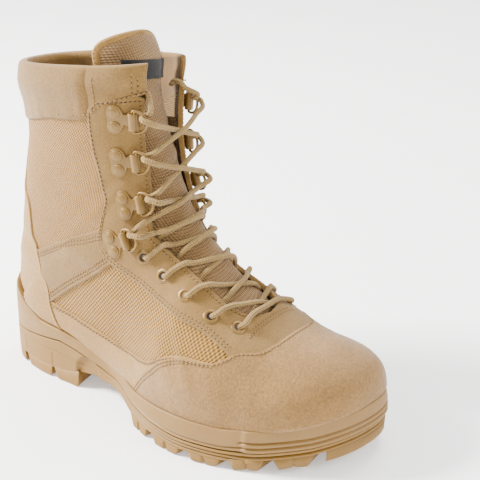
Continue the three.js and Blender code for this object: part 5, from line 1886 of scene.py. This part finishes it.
@dataclass
class Laces:
    """Two runs of one braided cord, crossed from eyelet to eyelet and ring to ring."""

    hardware: Hardware
    tongue: Tongue
    diameter: float = 3.9
    flatten: float = 0.86
    through: Rows = ((1.3, 1.4), (0.9, -1.2), (1.6, -4.6))  # x and z in an eyelet's own sizes
    # degrees round a ring's wire, millimetres along it
    wrap: Rows = ((70, 2.4), (105, 2.9), (140, 3.3), (180, 3.8), (220, 4.3), (255, 4.7), (290, 5.2))
    # from the top ring to the hidden end: stations further up, gap outward, lift
    tail: Rows = ((0.62, -2.4, 0.9), (0.98, -2.2, -1.6), (1.1, 1.5, -6.8), (0.8, 7.0, -8.4))

    def over(self, v: float, side: int, gap: float, lift: float) -> tuple[Array, Array]:
        """A point near the throat's edge: gap millimetres outward of it along the skin, with its normal."""
        at = np.array([v])
        angle = LAST.throat_angle(at, side, gap)
        (spot,), (out,) = LAST.surface(at, side * angle)
        return spot + out * lift, out

    def drape(self, ends: tuple[tuple[Array, Array], tuple[Array, Array]], at: tuple[float, float], side: int,
              rise: float) -> list[tuple[Array, Array]]:
        """Points of a strand that crosses the throat, clear of the tongue below it.

        Args:
            ends: Where it starts and ends, each with its way out.
            at: The stations of both ends.
            side: The side it starts on.
            rise: How far it arches over the other run at the middle.

        Returns:
            Points and the way out at each, without the last end.
        """
        points = [ends[0]]
        for share in (0.16, 0.33, 0.5, 0.67, 0.84):
            v, t = np.array([mix(*at, share)]), np.array([side * mix(0.6, -0.6, share)])
            face, out = self.tongue.sheet(v, t, self.tongue.puff(v, t) - 0.4)
            spot = mix(ends[0][0], ends[1][0], share)
            short = self.diameter * self.flatten / 2 + 0.25 - float((spot - face[0]) @ out[0])
            arch = rise * math.sin(share * math.pi) ** 2
            points.append((spot + out[0] * (max(0.0, short) + arch), out[0]))
        return points

    def run(self, first: int) -> list[tuple[Array, Array]]:
        """Waypoints of one run, which starts on side 'first' at the lowest eyelet.

        Args:
            first: -1 lateral or 1 medial.

        Returns:
            Points and the way out at each.
        """
        hw = self.hardware
        sites = {side: hw.eyelet_frames(side) + hw.ring_frames(side) for side in SIDES}
        stations = list(hw.stations) + [v for v, _, _ in hw.ring_sites]
        holes = len(hw.stations)
        r = self.diameter / 2
        tip = math.radians(hw.ring_tip)
        far = hw.barrel_offset + hw.ring_reach * math.cos(tip)
        high = hw.plate_lift + hw.barrel_diameter / 2 + hw.ring_reach * math.sin(tip)
        loop = r + hw.wire / 2

        def local(frame: Array, x: float, y: float, z: float) -> tuple[Array, Array]:
            return (frame @ np.array([x, y, z, 1.0]))[:3], frame[:3, 2]

        points = []
        side = first
        frame = sites[side][0]
        bar = [self.over(stations[0], one, -0.5, 0.6 + r + 0.2) for one in SIDES]
        points.append((mix(bar[0][0], bar[1][0], 0.5) + bar[0][1] * 0.6, unit(bar[0][1] + bar[1][1])))
        points += [self.over(stations[0], side, 1.0, 0.9 + r), local(frame, 3.6, 0, 2.3 + r * 0.6)]
        points += [local(frame, x, 0, z) for x, z in self.through]
        leaving = None
        for i in range(1, len(stations)):
            last_v, v = stations[i - 1], stations[i]
            if leaving is None:
                points.append(self.over(last_v, side, 6.0, -5.4))
                leaving = self.over(mix(last_v, v, 0.04), side, -1.0, -3.7)
            frame = sites[-side][i]
            if i < holes:
                goal = self.over(mix(last_v, v, 0.66), -side, -0.8, 0.6 + r + 0.4)
            else:
                goal = local(frame, far + 4.6, side * 0.3, high + loop * 0.75)
            points += self.drape((leaving, goal), (last_v + 0.1, v - 0.1), side, 3.4 if first > 0 else 0.0)
            points.append(goal)
            side = -side
            leaving = None
            if i < holes:
                points += [self.over(mix(last_v, v, 0.82), side, 5.0, 0.9 + r),
                           local(frame, 3.2, 0, 2.3 + r * 0.5)]
                points += [local(frame, x, 0, z) for x, z in self.through]
                continue
            for turn, sway in self.wrap:
                x, z = loop * math.cos(math.radians(turn)), loop * math.sin(math.radians(turn))
                points.append(local(frame, far - 0.7 + x, -side * sway, high + z))
            leaving = local(frame, far + 5.0, -side * 7.2, high - loop + 1.4)
        v = stations[-1]
        points.append(local(frame, far + 2.4, -side * 8.0, high - loop + 1.8))
        return points + [self.over(v + further, side, gap, lift) for further, gap, lift in self.tail]

    def build(self) -> None:
        """Makes both runs."""
        for first, word in ((-1, "first"), (1, "second")):
            waypoints = self.run(first)
            spots = np.stack([p for p, _ in waypoints])
            outs = np.stack([o for _, o in waypoints])
            gaps = np.linalg.norm(np.diff(spots, axis=0), axis=1) ** 0.6
            keys = np.concatenate([[0.0], np.cumsum(np.maximum(gaps, 0.3))])
            fine = np.linspace(0, keys[-1], 6000)
            path, out = spline(keys, spots, fine), unit(spline(keys, outs, fine))
            walked = walk(path)
            goal = np.linspace(0, walked[-1], int(walked[-1] / 0.9))
            path, out = read_at(goal, walked, path, out)
            along = heading(path)
            # the cord keeps its own way round, so that it doesn't twist at the bends
            across = [unit(np.cross(along[0], out[0]))]
            for direction in along[1:]:
                across.append(unit(across[-1] - direction * float(across[-1] @ direction)))
            across = np.stack(across)
            out = np.cross(across, along)
            section = round_section(self.diameter, self.diameter * self.flatten, 12)
            mesh = tube(f"lace_{word}", path, across, out, section, False)
            piece = publish(mesh, Finish.CORD, Slot.LACE, "laces")
            LOG.info("%s: %.0f mm long", piece.name, walked[-1])


# ---------------------------------------------------------------- the scene
@dataclass
class Studio:
    """Camera, lights and floor."""

    target: tuple[float, float, float] = (-0.0055, 0.0813, 0.0967)
    azimuth: float = 37.3
    elevation: float = 24.25
    distance: float = 0.991
    lens: float = 97.7
    sky: float = 1.35
    # name, azimuth, elevation, reach, size, power
    lights: tuple[tuple[str, float, float, float, float, float], ...] = (
        ("key", -60, 38, 1.6, 0.5, 135.0),
        ("side", 100, 34, 1.6, 0.8, 18.0),
        ("back", 185, 58, 1.8, 1.0, 34.0),
    )

    @staticmethod
    def toward(azimuth: float, elevation: float) -> Vector:
        """The direction from the boot at an azimuth and elevation in degrees."""
        a, e = math.radians(azimuth), math.radians(elevation)
        return Vector((math.sin(a) * math.cos(e), -math.cos(a) * math.cos(e), math.sin(e)))

    def camera(self) -> None:
        """Puts the camera where the boot is seen from."""
        back = self.toward(self.azimuth, self.elevation)
        data = bpy.data.cameras.new("camera")
        data.sensor_width = 36
        data.lens = self.lens
        data.clip_start = 0.05
        camera = bpy.data.objects.new("camera", data)
        camera.location = Vector(self.target) + back * self.distance
        camera.rotation_euler = back.to_track_quat("Z", "Y").to_euler()
        bpy.context.scene.collection.objects.link(camera)
        bpy.context.scene.camera = camera

    def light(self, name: str, azimuth: float, elevation: float, reach: float, size: float,
              power: float) -> None:
        """Adds a soft light that looks at the boot.

        Args:
            name: The light's name.
            azimuth: Degrees round the boot from its lateral side.
            elevation: Degrees up.
            reach: Metres away.
            size: Metres across.
            power: Watts.
        """
        back = self.toward(azimuth, elevation)
        data = bpy.data.lights.new(name, "AREA")
        data.shape = "DISK"
        data.size = size
        data.energy = power
        data.color = (1.0, 0.98, 0.96)
        lamp = bpy.data.objects.new(name, data)
        lamp.location = Vector((0, 0, 0.11)) + back * reach
        lamp.rotation_euler = back.to_track_quat("Z", "Y").to_euler()
        bpy.context.scene.collection.objects.link(lamp)

    def floor(self) -> None:
        """A large pale floor."""
        bm = bmesh.new()
        bmesh.ops.create_grid(bm, x_segments=8, y_segments=8, size=12.0)
        bmesh.ops.translate(bm, vec=(0, 0, -0.0004), verts=bm.verts)
        mesh = as_mesh(bm, "floor")
        s = Shader("floor_paper")
        cloud = s.spread(s.noise(260, 3.0), 0.3, 0.7, (0.985, 1.0))
        grain = s.bump(s.noise(0.8, 2.0), 0.03, 0.3)
        mesh.materials.append(s.finish(s.scale((0.93, 0.93, 0.925, 1.0), cloud), grain, Roughness=0.9,
                                       Emission_Color=(1.0, 1.0, 1.0, 1.0), Emission_Strength=0.45))
        floor = bpy.data.objects.new("floor", mesh)
        bpy.context.scene.collection.objects.link(floor)

    def build(self) -> None:
        """Lights the boot softly, mostly from the upper left."""
        world = bpy.data.worlds.new("studio")
        bpy.context.scene.world = world
        world.use_nodes = True
        sky = world.node_tree.nodes["Background"].inputs
        sky["Color"].default_value = (1.0, 1.0, 1.0, 1.0)
        sky["Strength"].default_value = self.sky
        self.floor()
        for row in self.lights:
            self.light(*row)
        self.camera()


def main() -> None:
    """Builds the scene."""
    logging.basicConfig(level=logging.INFO, format="%(message)s")
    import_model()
    upper = Upper()
    upper.build()
    tongue = Tongue()
    tongue.build(upper.sewing)
    Sole().build()
    hardware = Hardware()
    hardware.build()
    Laces(hardware, tongue).build()
    upper.sewing.publish()
    Studio().build()


if __name__ == "__main__":
    main()
